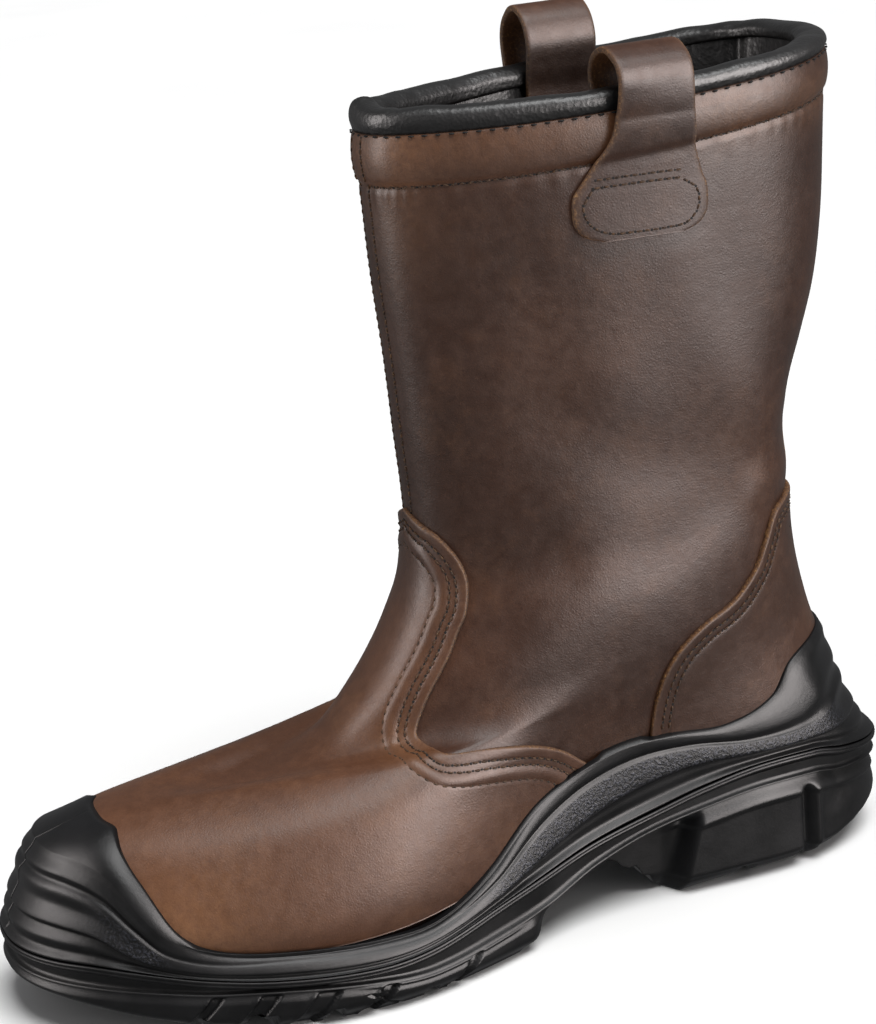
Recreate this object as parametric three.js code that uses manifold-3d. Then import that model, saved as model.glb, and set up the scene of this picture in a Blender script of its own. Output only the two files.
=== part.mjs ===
// Left pull-on work boot: a hollow leather upper on a cleated moulded sole.
// Lengths are in millimetres. The toe points along -Y, the outer side faces +X and +Z is up.
// The origin is on the floor, under the middle of the heel.
import * as THREE from 'three';
import { mergeVertices } from 'three/addons/utils/BufferGeometryUtils.js';
import Module from 'manifold-3d';

const wasm = await Module();
wasm.setup();

// Lengths and widths of the foot
const soleLength = 306;
const heelFlare = 8.5;
const toeFlare = 1.5;
const ballWidth = 110;
const heelWidth = 79;
const heelCentre = 46;

// Heights above the floor
const heelHeight = 38;
const soleSideHeight = 56;
const toeHeight = 66.8;
const instepHeight = 107;
const ankleHeight = 152;
const rimHeight = 269;

// Shaft
const collarLength = 159;
const collarWidth = 90;
const collarSlant = 25;
const collarRise = 10.5;

// Walls, overlays and the clearance between neighbours
const upperWall = 2.4;
const overlayThickness = 1.6;
const lipWall = 1.3;
const clearance = 0.3;

// Sole build
const midsoleFloor = 8;
const seatInset = 7;
const flangeHeight = 2.6;
const grooveDepth = 2.6;
const ribDepth = 1.1;
const insoleThickness = 4;
const insoleMargin = 1.8;
const bevelHeight = 7;
const sideInset = 2.5;
const heelInset = 7;
const toeInset = 8;

// Collar
const rollFront = 7.5;
const rollBack = 4.6;
const rollBulge = 0.8;
const liningThickness = 6;
const liningDepth = 42;
const backstayWidth = 28;

// Pull loops
const outerLoopRise = 20;
const innerLoopRise = 27;
const loopThickness = 2.2;
const tabWidth = 44;
const tabDepth = 38;

// Steps of the grids
const upperSteps = 36;
const soleSteps = 56;
const ringsPerRow = [2, 1, 1, 2, 1, 2, 1, 1, 2, 1, 1, 2, 1, 2, 2];

const clear2 = clearance * 2;
const overlayOut = clearance + overlayThickness;
const shaftRise = rimHeight - ankleHeight;

// Height of the footbed: at is a share of the sole's length, up a share of the heel height
const footbedRows = [
  { at: 0.0, up: 1.0 },
  { at: 0.2, up: 1.0 },
  { at: 0.32, up: 0.93 },
  { at: 0.5, up: 0.68 },
  { at: 0.64, up: 0.56 },
  { at: 0.78, up: 0.56 },
  { at: 0.9, up: 0.68 },
  { at: 1.0, up: 0.84 },
];

// Sideways bow of the foot's middle line: at is a share of length, side a share of ball width
const bowRows = [
  { at: 0.0, side: 0.0 },
  { at: 0.2, side: 0.002 },
  { at: 0.38, side: 0.025 },
  { at: 0.51, side: 0.05 },
  { at: 0.65, side: 0.038 },
  { at: 0.78, side: 0.0 },
  { at: 0.9, side: -0.045 },
  { at: 1.0, side: -0.115 },
];

// Shares of the length at which a section's half widths are given
const widthStations = { heel: 0.13, waist: 0.4, ball: 0.66, toe: 0.9 };

// Plan of the sole: half widths as shares of the ball width, rounds are the fullness of the ends
const solePlan = { heel: 0.364, waist: 0.333, ball: 0.485, toe: 0.37, heelRound: 0.7, toeRound: 0.8 };

// Foot sections from the feather line up to the ankle, their ends and how they bend
// backAt, frontAt: ends as shares of sole length; backUp: share from heel height to ankle height
// toeUp: share of toe height; instepUp: share from toe height to instep height
// sag: share of the footbed's dip; bow: share of the middle line's bow
const footEnds = [
  { backAt: .036, backUp: 0, frontAt: .943, toeUp: .47, instepUp: 0, sag: 1, bow: 1 },
  { backAt: .031, backUp: .105, frontAt: .963, toeUp: .61, instepUp: 0, sag: .95, bow: 1 },
  { backAt: .034, backUp: .21, frontAt: .953, toeUp: .775, instepUp: 0, sag: .72, bow: .95 },
  { backAt: .045, backUp: .315, frontAt: .928, toeUp: .92, instepUp: 0, sag: .4, bow: .9 },
  { backAt: .058, backUp: .41, frontAt: .843, toeUp: 1.01, instepUp: 0, sag: .15, bow: .85 },
  { backAt: .069, backUp: .52, frontAt: .745, toeUp: 1, instepUp: -.03, sag: .05, bow: .75 },
  { backAt: .078, backUp: .64, frontAt: .66, toeUp: 1, instepUp: .1, sag: 0, bow: .6 },
  { backAt: .083, backUp: .755, frontAt: .6, toeUp: 1, instepUp: .47, sag: 0, bow: .4 },
  { backAt: .083, backUp: .877, frontAt: .55, toeUp: 1, instepUp: .98, sag: 0, bow: .15 },
];

// Half widths of the same sections: heel is a share of heel width, the others of ball width
const footWidths = [
  { heel: .41, waist: .26, ball: .405, toe: .32 },
  { heel: .44, waist: .28, ball: .43, toe: .34 },
  { heel: .445, waist: .297, ball: .41, toe: .305 },
  { heel: .44, waist: .315, ball: .365, toe: .235 },
  { heel: .435, waist: .335, ball: .305, toe: .15 },
  { heel: .435, waist: .35, ball: .3, toe: .115 },
  { heel: .44, waist: .365, ball: .31, toe: .15 },
  { heel: .445, waist: .372, ball: .33, toe: .185 },
  { heel: .445, waist: .372, ball: .34, toe: .2 },
];

// Shaft sections from the ankle up to the rim
// up: share of the shaft's rise; slant: share of the collar slant by which the front is lower
// backAt: share of sole length; depth: share of collar length; lift: share of the rim's rise at its back
const shaftEnds = [
  { up: 0, slant: 1, backAt: .0793, depth: .852, lift: 0 },
  { up: .137, slant: .76, backAt: .0748, depth: .853, lift: 0 },
  { up: .29, slant: .52, backAt: .0534, depth: .9, lift: .05 },
  { up: .444, slant: .28, backAt: .0345, depth: .944, lift: .15 },
  { up: .615, slant: .14, backAt: .0229, depth: .974, lift: .35 },
  { up: .803, slant: .04, backAt: .0181, depth: .989, lift: .65 },
  { up: 1, slant: 0, backAt: .0134, depth: 1, lift: 1 },
];

// Half widths of the same sections, as shares of collar width
const shaftWidths = [
  { heel: .39, waist: .452, ball: .405, toe: .245 },
  { heel: .39, waist: .452, ball: .4, toe: .24 },
  { heel: .395, waist: .458, ball: .405, toe: .245 },
  { heel: .405, waist: .466, ball: .412, toe: .247 },
  { heel: .418, waist: .478, ball: .422, toe: .25 },
  { heel: .43, waist: .49, ball: .43, toe: .255 },
  { heel: .436, waist: .5, ball: .436, toe: .258 },
];
const footRounds = { heelRound: 0.72, toeRound: 0.8 };
const shaftRounds = { heelRound: 0.8, toeRound: 0.86 };

// Lines along the side of the sole: at is a share of length, heights are shares of side height
const sideRows = [
  { at: 0, edge: .61, bandLow: .82, bandTop: 1.06, lip: 1.36, shelf: .48, ground: .15 },
  { at: .04, edge: .64, bandLow: .82, bandTop: 1.04, lip: 1.35, shelf: .51, ground: .08 },
  { at: .09, edge: .7, bandLow: .83, bandTop: .98, lip: 1.29, shelf: .55, ground: .015 },
  { at: .13, edge: .76, bandLow: .84, bandTop: .93, lip: 1.13, shelf: .6, ground: 0 },
  { at: .2, edge: .77, bandLow: .85, bandTop: .93, lip: 1.045, shelf: .61, ground: 0 },
  { at: .265, edge: .71, bandLow: .86, bandTop: .98, lip: 1.075, shelf: .56, ground: 0 },
  { at: .33, edge: .62, bandLow: .81, bandTop: .98, lip: 1.08, shelf: .49, ground: 0 },
  { at: .395, edge: .54, bandLow: .71, bandTop: .9, lip: 1.0, shelf: .38, ground: 0 },
  { at: .46, edge: .46, bandLow: .58, bandTop: .75, lip: .86, shelf: .25, ground: 0 },
  { at: .527, edge: .4, bandLow: .45, bandTop: .53, lip: .6, shelf: .2, ground: 0 },
  { at: .61, edge: .31, bandLow: .35, bandTop: .39, lip: .43, shelf: .16, ground: 0 },
  { at: .675, edge: .29, bandLow: .33, bandTop: .38, lip: .42, shelf: .19, ground: 0 },
  { at: .775, edge: .33, bandLow: .37, bandTop: .42, lip: .46, shelf: .25, ground: 0 },
  { at: .84, edge: .385, bandLow: .42, bandTop: .46, lip: .51, shelf: .28, ground: .03 },
  { at: .88, edge: .43, bandLow: .48, bandTop: .54, lip: .6, shelf: .305, ground: .065 },
  { at: .91, edge: .46, bandLow: .55, bandTop: .68, lip: .77, shelf: .32, ground: .095 },
  { at: .94, edge: .48, bandLow: .64, bandTop: .82, lip: .95, shelf: .33, ground: .13 },
  { at: .97, edge: .48, bandLow: .67, bandTop: .88, lip: 1.03, shelf: .335, ground: .16 },
  { at: 1, edge: .48, bandLow: .68, bandTop: .9, lip: 1.05, shelf: .34, ground: .18 },
];

// Relief of the midsole's side from its edge up to its lip
// place: 0 edge, 1 low side of the band, 2 top of the band, 3 lip
// side: share of groove depth cut in along the waist and heel; end: share of rib depth at the ends
const reliefRows = [
  { place: 0, side: .5, end: .65 },
  { place: .1, side: .1, end: 0 },
  { place: .3, side: .85, end: 1 },
  { place: .6, side: .8, end: 0 },
  { place: .92, side: .65, end: 1 },
  { place: 1.06, side: -.1, end: 0 },
  { place: 1.5, side: -.15, end: 1 },
  { place: 1.9, side: .1, end: 0 },
  { place: 2.1, side: .3, end: 1 },
  { place: 2.4, side: .1, end: 0 },
  { place: 2.75, side: .05, end: .5 },
  { place: 3, side: .1, end: 0 },
];

// Outlines seen from the side: at is a share of sole length, up a share of ankle height
const vampEdge = [
  { at: .527, up: .955 },
  { at: .508, up: .905 },
  { at: .494, up: .86 },
  { at: .488, up: .81 },
  { at: .492, up: .765 },
  { at: .51, up: .705 },
  { at: .542, up: .614 },
  { at: .562, up: .565 },
  { at: .569, up: .53 },
  { at: .56, up: .502 },
  { at: .53, up: .497 },
  { at: .46, up: .47 },
  { at: .42, up: .44 },
  { at: .386, up: .385 },
  { at: .378, up: .32 },
];
const counterEdge = [
  { at: .06, up: .862 },
  { at: .11, up: .874 },
  { at: .137, up: .85 },
  { at: .153, up: .795 },
  { at: .17, up: .735 },
  { at: .2, up: .68 },
  { at: .24, up: .645 },
  { at: .272, up: .6 },
  { at: .292, up: .54 },
  { at: .304, up: .45 },
  { at: .308, up: .32 },
];

// Cut under the arch, seen from the side: at is a share of length, up a share of heel height
const archCut = [
  { at: .288, up: -.1 },
  { at: .295, up: .06 },
  { at: .32, up: .26 },
  { at: .352, up: .4 },
  { at: .38, up: .46 },
  { at: .41, up: .42 },
  { at: .441, up: .34 },
  { at: .458, up: .25 },
  { at: .471, up: .11 },
  { at: .49, up: 0 },
  { at: .493, up: -.1 },
];

// Grooves across the tread: at is a share of length, wide and deep are shares of heel height
const treadGrooves = [
  { at: .129, wide: .13, deep: .15, vee: 0 },
  { at: .207, wide: .17, deep: .15, vee: 0 },
  { at: .584, wide: .1, deep: .09, vee: .3 },
  { at: .69, wide: .13, deep: .14, vee: .35 },
  { at: .766, wide: .21, deep: .18, vee: .35 },
  { at: .828, wide: .17, deep: .16, vee: .3 },
  { at: .88, wide: .1, deep: .1, vee: .2 },
];

// Cross-section of the rolled binding: in is a share of the padded collar's thickness, from outside
// up: share of the roll's height; bulge: shares of the roll's bulge that it stands out on its side
const rollRows = [
  { in: 0, up: 0, bulge: 0 },
  { in: 0, up: .3, bulge: 1 },
  { in: .02, up: .65, bulge: .7 },
  { in: .2, up: .93, bulge: 0 },
  { in: .5, up: 1, bulge: 0 },
  { in: .82, up: .88, bulge: 0 },
  { in: 1, up: .5, bulge: -.6 },
  { in: 1, up: 0, bulge: -.2 },
];

// Cross-section of the padded lining: in is a share of its thickness, down a share of its depth
const liningRows = [
  { in: 0, down: 0 },
  { in: 1, down: 0 },
  { in: 1.06, down: .35 },
  { in: .95, down: .8 },
  { in: .5, down: 1 },
  { in: 0, down: 1 },
];

// Path of a pull loop, from the foot of its tab up, over the rim and down inside
// over: 0 against the shaft, 1 against the lining; bulge: strap thicknesses that it stands out
// up: height over the rim, as a share of the loop's rise above it or of the tab's depth below it
// wide: share of tab width; ahead: shift towards the toe, as a share of tab width
// flat: how far the strap has left the curve of the shaft
const loopRows = [
  { over: 0, up: -1, bulge: 0, wide: .6, ahead: 0, flat: 0 },
  { over: 0, up: -.95, bulge: 0, wide: .84, ahead: 0, flat: 0 },
  { over: 0, up: -.86, bulge: 0, wide: .97, ahead: 0, flat: 0 },
  { over: 0, up: -.74, bulge: 0, wide: 1, ahead: 0, flat: 0 },
  { over: 0, up: -.62, bulge: 0, wide: .98, ahead: 0, flat: 0 },
  { over: 0, up: -.53, bulge: 0, wide: .9, ahead: -.01, flat: 0 },
  { over: 0, up: -.34, bulge: .1, wide: .74, ahead: -.05, flat: .05 },
  { over: 0, up: -.16, bulge: .4, wide: .63, ahead: -.09, flat: .2 },
  { over: 0, up: .04, bulge: 1, wide: .585, ahead: -.1, flat: .4 },
  { over: 0, up: .3, bulge: 1.5, wide: .575, ahead: -.1, flat: .7 },
  { over: 0, up: .58, bulge: 1.6, wide: .575, ahead: -.1, flat: 1 },
  { over: .1, up: .82, bulge: 1.3, wide: .575, ahead: -.1, flat: 1 },
  { over: .3, up: .96, bulge: .6, wide: .575, ahead: -.1, flat: 1 },
  { over: .5, up: 1, bulge: 0, wide: .575, ahead: -.1, flat: 1 },
  { over: .7, up: .96, bulge: -.6, wide: .575, ahead: -.1, flat: 1 },
  { over: .9, up: .82, bulge: -1.4, wide: .575, ahead: -.1, flat: 1 },
  { over: 1, up: .58, bulge: -1.8, wide: .575, ahead: -.1, flat: 1 },
  { over: 1, up: .3, bulge: -1.2, wide: .575, ahead: -.1, flat: .8 },
  { over: 1, up: .02, bulge: -.3, wide: .575, ahead: -.1, flat: .5 },
  { over: 1, up: -.3, bulge: 0, wide: .59, ahead: -.1, flat: .2 },
  { over: 1, up: -.62, bulge: 0, wide: .6, ahead: -.1, flat: 0 },
];

// The two loops: side is 1 on the outer side, at is a share of sole length, rise is over the rim
const loops = [
  { name: 'pull_loop_outer', side: 1, at: .289, rise: outerLoopRise },
  { name: 'pull_loop_inner', side: -1, at: .268, rise: innerLoopRise },
];

// Smooth value of one column between the rows of a table, by cubic pieces through the rows
function columnAt(rows, key, name, place) {
  const last = rows.length - 1;
  if (place <= rows[0][key]) return rows[0][name];
  if (place >= rows[last][key]) return rows[last][name];
  let i = 0;
  while (place > rows[i + 1][key]) i += 1;
  const slope = (k) => {
    const a = rows[Math.max(k - 1, 0)];
    const b = rows[Math.min(k + 1, last)];
    return (b[name] - a[name]) / (b[key] - a[key]);
  };
  const span = rows[i + 1][key] - rows[i][key];
  const t = (place - rows[i][key]) / span;
  const rise = rows[i + 1][name] - rows[i][name];
  const m0 = slope(i) * span;
  const m1 = slope(i + 1) * span;
  return rows[i][name] + t * (m0 + t * (3 * rise - 2 * m0 - m1 + t * (m0 + m1 - 2 * rise)));
}

const footbed = (s) => heelHeight * columnAt(footbedRows, 'at', 'up', s / soleLength);
const bowAt = (s) => ballWidth * columnAt(bowRows, 'at', 'side', s / soleLength);
const sideLine = (name, t) => soleSideHeight * columnAt(sideRows, 'at', name, t);

// Place in space of a point given from the heel's back along the foot
const place = (x, s, z) => new THREE.Vector3(x, heelCentre - s, z);

// Half width of an egg-shaped outline at an angle, 0 at the back and PI at the front
// The widths at the four stations are divided by the end rounding, smoothed and rounded again
function outlineHalf(section, angle) {
  const roundAt = (t) => THREE.MathUtils.lerp(section.heelRound, section.toeRound, t);
  const rows = Object.entries(widthStations).map(([name, t]) => {
    const stationAngle = Math.acos(1 - 2 * t);
    return { angle: stationAngle, full: section[name] / Math.sin(stationAngle) ** roundAt(t) };
  });
  rows.unshift({ angle: 0, full: rows[0].full });
  rows.push({ angle: Math.PI, full: rows[rows.length - 1].full });
  const t = (1 - Math.cos(angle)) / 2;
  return columnAt(rows, 'angle', 'full', angle) * Math.max(Math.sin(angle), 0) ** roundAt(t);
}

// Sections of the upper in millimetres, worked out from the tables
const footSections = footEnds.map((row, k) => ({
  backS: row.backAt * soleLength,
  backZ: THREE.MathUtils.lerp(heelHeight, ankleHeight, row.backUp),
  frontS: row.frontAt * soleLength,
  frontZ: row.toeUp * toeHeight + row.instepUp * (instepHeight - toeHeight),
  heel: footWidths[k].heel * heelWidth,
  waist: footWidths[k].waist * ballWidth,
  ball: footWidths[k].ball * ballWidth,
  toe: footWidths[k].toe * ballWidth,
  sag: row.sag,
  bow: row.bow,
  lift: 0,
  ...footRounds,
}));
const shaftSections = shaftEnds.map((row, k) => ({
  backS: row.backAt * soleLength,
  backZ: ankleHeight + row.up * shaftRise,
  frontS: row.backAt * soleLength + row.depth * collarLength,
  frontZ: ankleHeight + row.up * shaftRise - row.slant * collarSlant,
  heel: shaftWidths[k].heel * collarWidth,
  waist: shaftWidths[k].waist * collarWidth,
  ball: shaftWidths[k].ball * collarWidth,
  toe: shaftWidths[k].toe * collarWidth,
  sag: 0,
  bow: 0,
  lift: row.lift,
  ...shaftRounds,
}));
const sections = [...footSections, ...shaftSections].map((section, index) => ({ index, ...section }));
const topRow = sections.length - 1;
const sectionNames = Object.keys(sections[0]);
const sectionAt = (v) => Object.fromEntries(
  sectionNames.map((name) => [name, columnAt(sections, 'index', name, v)]),
);

// Point of the upper's outer skin: phi goes round from the back, v counts the sections upwards
function skin(phi, v) {
  const turn = Math.atan2(Math.sin(phi), Math.cos(phi));
  const angle = Math.abs(turn);
  const section = sectionAt(v);
  const t = (1 - Math.cos(angle)) / 2;
  const s = THREE.MathUtils.lerp(section.backS, section.frontS, t);
  const low = sections[0];
  const chord = THREE.MathUtils.lerp(low.backZ, low.frontZ, (s - low.backS) / (low.frontS - low.backS));
  const dip = section.sag * (footbed(s) - chord);
  const lift = section.lift * collarRise * (1 - t) ** 2;
  const half = outlineHalf(section, angle);
  const x = section.bow * bowAt(s) + Math.sign(turn) * half;
  return place(x, s, THREE.MathUtils.lerp(section.backZ, section.frontZ, t) + dip + lift);
}

// Outward direction of the skin, from the differences across a small step each way
function skinNormal(phi, v) {
  const step = 0.02;
  const low = Math.max(v - step, 0);
  const high = Math.min(v + step, topRow);
  const round = skin(phi + step, v).sub(skin(phi - step, v));
  const rise = skin(phi, high).sub(skin(phi, low));
  return rise.cross(round).normalize();
}

const offsetSkin = (phi, v, out) => skin(phi, v).addScaledVector(skinNormal(phi, v), out);

// Section number at which the skin reaches a height, on one meridian
function rowAtHeight(phi, z) {
  let low = 0;
  let high = topRow;
  for (let i = 0; i < 30; i += 1) {
    const middle = (low + high) / 2;
    if (skin(phi, middle).z < z) low = middle;
    else high = middle;
  }
  return (low + high) / 2;
}

// Angle and section of the skin's point at a length and a height on one side of the boot
function skinPlace(s, z, side) {
  let phi = Math.PI / 2;
  let v = topRow / 2;
  for (let i = 0; i < 12; i += 1) {
    v = rowAtHeight(phi, z);
    const section = sectionAt(v);
    const t = THREE.MathUtils.clamp((s - section.backS) / (section.frontS - section.backS), 0, 1);
    phi = Math.acos(1 - 2 * t);
  }
  return { phi: side * phi, v };
}

// Closed surface over a stack of rings, each with the same number of points
// across: the first and last ring are closed by strips; joined: the last ring meets the first
function ringSurface(rings, ends) {
  const steps = rings[0].length;
  const points = rings.flat();
  const faces = [];
  const bands = ends === 'joined' ? rings.length : rings.length - 1;
  for (let k = 0; k < bands; k += 1) {
    const a = k * steps;
    const b = ((k + 1) % rings.length) * steps;
    for (let j = 0; j < steps; j += 1) {
      const next = (j + 1) % steps;
      faces.push([a + j, a + next, b + next], [a + j, b + next, b + j]);
    }
  }
  if (ends === 'across') {
    const top = (rings.length - 1) * steps;
    for (let j = 0; j < steps / 2; j += 1) {
      const left = j;
      const right = (steps - j) % steps;
      const leftNext = j + 1;
      const rightNext = (steps - j - 1) % steps;
      addCapFaces(faces, 0, left, right, leftNext, rightNext, false);
      addCapFaces(faces, top, left, right, leftNext, rightNext, true);
    }
  }
  return closedGeometry(points, faces);
}

// Two faces, or one at an end, that span a ring from one side to the other
function addCapFaces(faces, base, left, right, leftNext, rightNext, up) {
  const quads = [[left, leftNext, rightNext], [left, rightNext, right]];
  quads.forEach(([a, b, c]) => {
    if (a === b || b === c || a === c) return;
    faces.push(up ? [base + a, base + b, base + c] : [base + a, base + c, base + b]);
  });
}

// Geometry from points and faces, turned so that the faces point outwards
function closedGeometry(points, faces) {
  const volume = faces.reduce((sum, [a, b, c]) => (
    sum + points[a].dot(new THREE.Vector3().crossVectors(points[b], points[c]))
  ), 0);
  const order = volume < 0 ? faces.map(([a, b, c]) => [a, c, b]) : faces;
  const geometry = new THREE.BufferGeometry();
  const numbers = points.flatMap((point) => [point.x, point.y, point.z]);
  geometry.setAttribute('position', new THREE.Float32BufferAttribute(numbers, 3));
  geometry.setIndex(order.flat());
  return geometry;
}

// Solid for joining and cutting, from a closed geometry
function solidOf(geometry) {
  const bare = geometry.clone();
  bare.deleteAttribute('normal');
  bare.deleteAttribute('uv');
  const merged = mergeVertices(bare, 1e-5);
  return new wasm.Manifold(new wasm.Mesh({
    numProp: 3,
    vertProperties: new Float32Array(merged.attributes.position.array),
    triVerts: new Uint32Array(merged.index.array),
  }));
}

// Geometry of a solid after joining and cutting
function geometryOf(solid) {
  const mesh = solid.getMesh();
  const geometry = new THREE.BufferGeometry();
  geometry.setAttribute('position', new THREE.BufferAttribute(new Float32Array(mesh.vertProperties), 3));
  geometry.setIndex(new THREE.BufferAttribute(new Uint32Array(mesh.triVerts), 1));
  return geometry;
}

// Angles round the boot, from the front over the inner side and back
const anglesRound = (steps) => Array.from({ length: steps }, (_, j) => 2 * Math.PI * j / steps);

const ringRows = ringsPerRow.flatMap((count, row) => (
  Array.from({ length: count }, (_, k) => row + k / count)
)).concat(topRow);
const upperAngles = anglesRound(upperSteps);
const soleAngles = anglesRound(soleSteps);

const skinRings = (out) => ringRows.map((v) => upperAngles.map((phi) => offsetSkin(phi, v, out)));

// Full solid inside the skin moved outwards, its floor lowered by the same distance
// above: height by which it stands over the rim
function fullForm(out, above = 0) {
  const rings = skinRings(out);
  const floor = rings[0].map((point) => point.clone().setZ(point.z - out));
  const rim = rings[rings.length - 1];
  const lid = above > 0 ? [rim.map((point) => point.clone().setZ(point.z + above))] : [];
  return solidOf(ringSurface([floor, ...rings, ...lid], 'across'));
}

// Prism across the boot with an outline given from the side as lengths and heights
function sidePrism(outline, grow) {
  const shape = new THREE.Shape(grownOutline(outline, grow).map(([s, z]) => new THREE.Vector2(s, z)));
  const depth = ballWidth * 2;
  const geometry = new THREE.ExtrudeGeometry(shape, { depth, bevelEnabled: false, steps: 1 });
  geometry.translate(0, 0, -depth / 2);
  const turn = new THREE.Matrix4().makeBasis(
    new THREE.Vector3(0, -1, 0),
    new THREE.Vector3(0, 0, 1),
    new THREE.Vector3(-1, 0, 0),
  );
  geometry.applyMatrix4(turn.setPosition(0, heelCentre, 0));
  return solidOf(geometry);
}

// Outline with each point moved outwards by a small distance
function grownOutline(outline, grow) {
  const area = outline.reduce((sum, [s, z], i) => {
    const [nextS, nextZ] = outline[(i + 1) % outline.length];
    return sum + s * nextZ - nextS * z;
  }, 0);
  const out = Math.sign(area) * grow;
  return outline.map(([s, z], i) => {
    const [s0, z0] = outline[(i + outline.length - 1) % outline.length];
    const [s1, z1] = outline[(i + 1) % outline.length];
    const length = Math.hypot(s1 - s0, z1 - z0);
    return [s + out * (z1 - z0) / length, z - out * (s1 - s0) / length];
  });
}

// Smooth outline through the rows of a side view table
function smoothOutline(rows, unit) {
  const curve = new THREE.CatmullRomCurve3(
    rows.map((row) => new THREE.Vector3(row.at * soleLength, row.up * unit, 0)),
    false,
    'centripetal',
  );
  return curve.getPoints(Math.round(rows.length * 1.4)).map((point) => [point.x, point.y]);
}

const shaftLeather = new THREE.Color(0x5a4136);
const vampLeather = new THREE.Color(0x6b4a35);
const soleBlack = new THREE.Color(0x2c2c2f);

const group = new THREE.Group();

function addMesh(name, geometry, color, roughness) {
  const material = new THREE.MeshStandardMaterial({ color, roughness, metalness: 0 });
  const mesh = new THREE.Mesh(geometry, material);
  mesh.name = name;
  group.add(mesh);
}

// Upper: outer and inner skins joined at the rim and at the feather line
const upperRings = [...skinRings(0), ...skinRings(-upperWall).reverse()];
addMesh('upper', ringSurface(upperRings, 'joined'), shaftLeather, 0.55);

// Overlays: a sheet between two larger forms, cut to its outline
const innerForm = fullForm(clearance, overlayThickness * 2);
const overlaySheet = fullForm(overlayOut).subtract(innerForm);
const floorLine = (from, to, count) => Array.from({ length: count }, (_, k) => {
  const s = THREE.MathUtils.lerp(from, to, k / (count - 1));
  return [s, footbed(s) + overlayOut];
});
const vampCurve = smoothOutline(vampEdge, ankleHeight);
const vampEnd = vampCurve[vampCurve.length - 1];
const vampOutline = [
  ...vampCurve,
  ...floorLine(vampEnd[0], soleLength, 8),
  [soleLength, ankleHeight],
];
const counterCurve = smoothOutline(counterEdge, ankleHeight);
const counterEnd = counterCurve[counterCurve.length - 1];
const counterOutline = [
  [-clearance, counterCurve[0][1]],
  ...counterCurve,
  ...floorLine(counterEnd[0], -clearance, 4),
];
const vampPrism = sidePrism(vampOutline, 0);
const counterPrism = sidePrism(counterOutline, 0);
addMesh('vamp', geometryOf(overlaySheet.intersect(vampPrism)), vampLeather, 0.6);
addMesh('heel_counter', geometryOf(overlaySheet.intersect(counterPrism)), shaftLeather, 0.55);

// Backstay: a strip of the same sheet down the back, from the rim to the top of the counter
const stripBox = new THREE.BoxGeometry(backstayWidth, collarLength / 2, rimHeight);
stripBox.translate(0, heelCentre, rimHeight / 2 + ankleHeight * counterEdge[0].up);
const backstay = overlaySheet.intersect(solidOf(stripBox)).subtract(sidePrism(counterOutline, clear2));
addMesh('backstay', geometryOf(backstay), shaftLeather, 0.55);

// Point on the sole's plan moved inwards along its own normal
function planPoint(phi, inset, z) {
  const turn = Math.atan2(Math.sin(phi), Math.cos(phi));
  const at = (a) => {
    const angle = Math.abs(Math.atan2(Math.sin(a), Math.cos(a)));
    const side = Math.sign(Math.sin(a)) || 0;
    const s = THREE.MathUtils.lerp(-heelFlare, soleLength + toeFlare, (1 - Math.cos(angle)) / 2);
    const section = {
      heel: solePlan.heel * ballWidth,
      waist: solePlan.waist * ballWidth,
      ball: solePlan.ball * ballWidth,
      toe: solePlan.toe * ballWidth,
      heelRound: solePlan.heelRound,
      toeRound: solePlan.toeRound,
    };
    return place(bowAt(s) + side * outlineHalf(section, angle), s, 0);
  };
  const step = 0.03;
  const along = at(turn + step).sub(at(turn - step));
  const inward = new THREE.Vector3(along.y, -along.x, 0).normalize();
  return at(turn).addScaledVector(inward, inset).setZ(z);
}

const stationOf = (phi) => (1 - Math.cos(phi)) / 2;
const smoothStep = THREE.MathUtils.smoothstep;
const toeShare = (t) => smoothStep(t, 0.86, 0.97);
const heelShare = (t) => 1 - smoothStep(t, 0.02, 0.13);

// Lip of the midsole, where its thin top edge lies on the overlays
function lipPoint(phi) {
  const v = rowAtHeight(phi, sideLine('lip', stationOf(phi)));
  return offsetSkin(phi, v, overlayOut + clearance + lipWall);
}

// Height of a place on the side: 0 edge, 1 low side of band, 2 top of band, 3 lip
function placeHeight(t, at) {
  const lines = ['edge', 'bandLow', 'bandTop', 'lip'].map((name) => sideLine(name, t));
  const k = Math.min(Math.floor(at), 2);
  return THREE.MathUtils.lerp(lines[k], lines[k + 1], at - k);
}

// Ring of the midsole's side: it leaves the plan at the edge and curves in to the lip
function midsoleRing(row) {
  return soleAngles.map((phi) => {
    const t = stationOf(phi);
    const edgeZ = placeHeight(t, 0) + clearance;
    const lip = lipPoint(phi);
    const z = Math.max(placeHeight(t, row.place), edgeZ);
    const rise = THREE.MathUtils.clamp((z - edgeZ) / (lip.z - edgeZ), 0, 1);
    const convex = 1 - Math.sqrt(1 - rise * rise);
    const concave = rise ** 0.68;
    const inward = THREE.MathUtils.lerp(convex, concave, Math.max(heelShare(t), 0.15 + 0.2 * toeShare(t)));
    const ends = Math.max(toeShare(t), heelShare(t));
    const wall = Math.min((lip.z - edgeZ) / (soleSideHeight * 0.3), 1);
    const relief = THREE.MathUtils.lerp(row.side * grooveDepth, row.end * ribDepth, ends) * wall;
    const foot = planPoint(phi, relief, 0);
    const head = lip.clone().add(foot).sub(planPoint(phi, 0, 0));
    return new THREE.Vector3(
      THREE.MathUtils.lerp(foot.x, head.x, inward),
      THREE.MathUtils.lerp(foot.y, head.y, inward),
      row.place === 3 ? lip.z : z,
    );
  });
}

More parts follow.
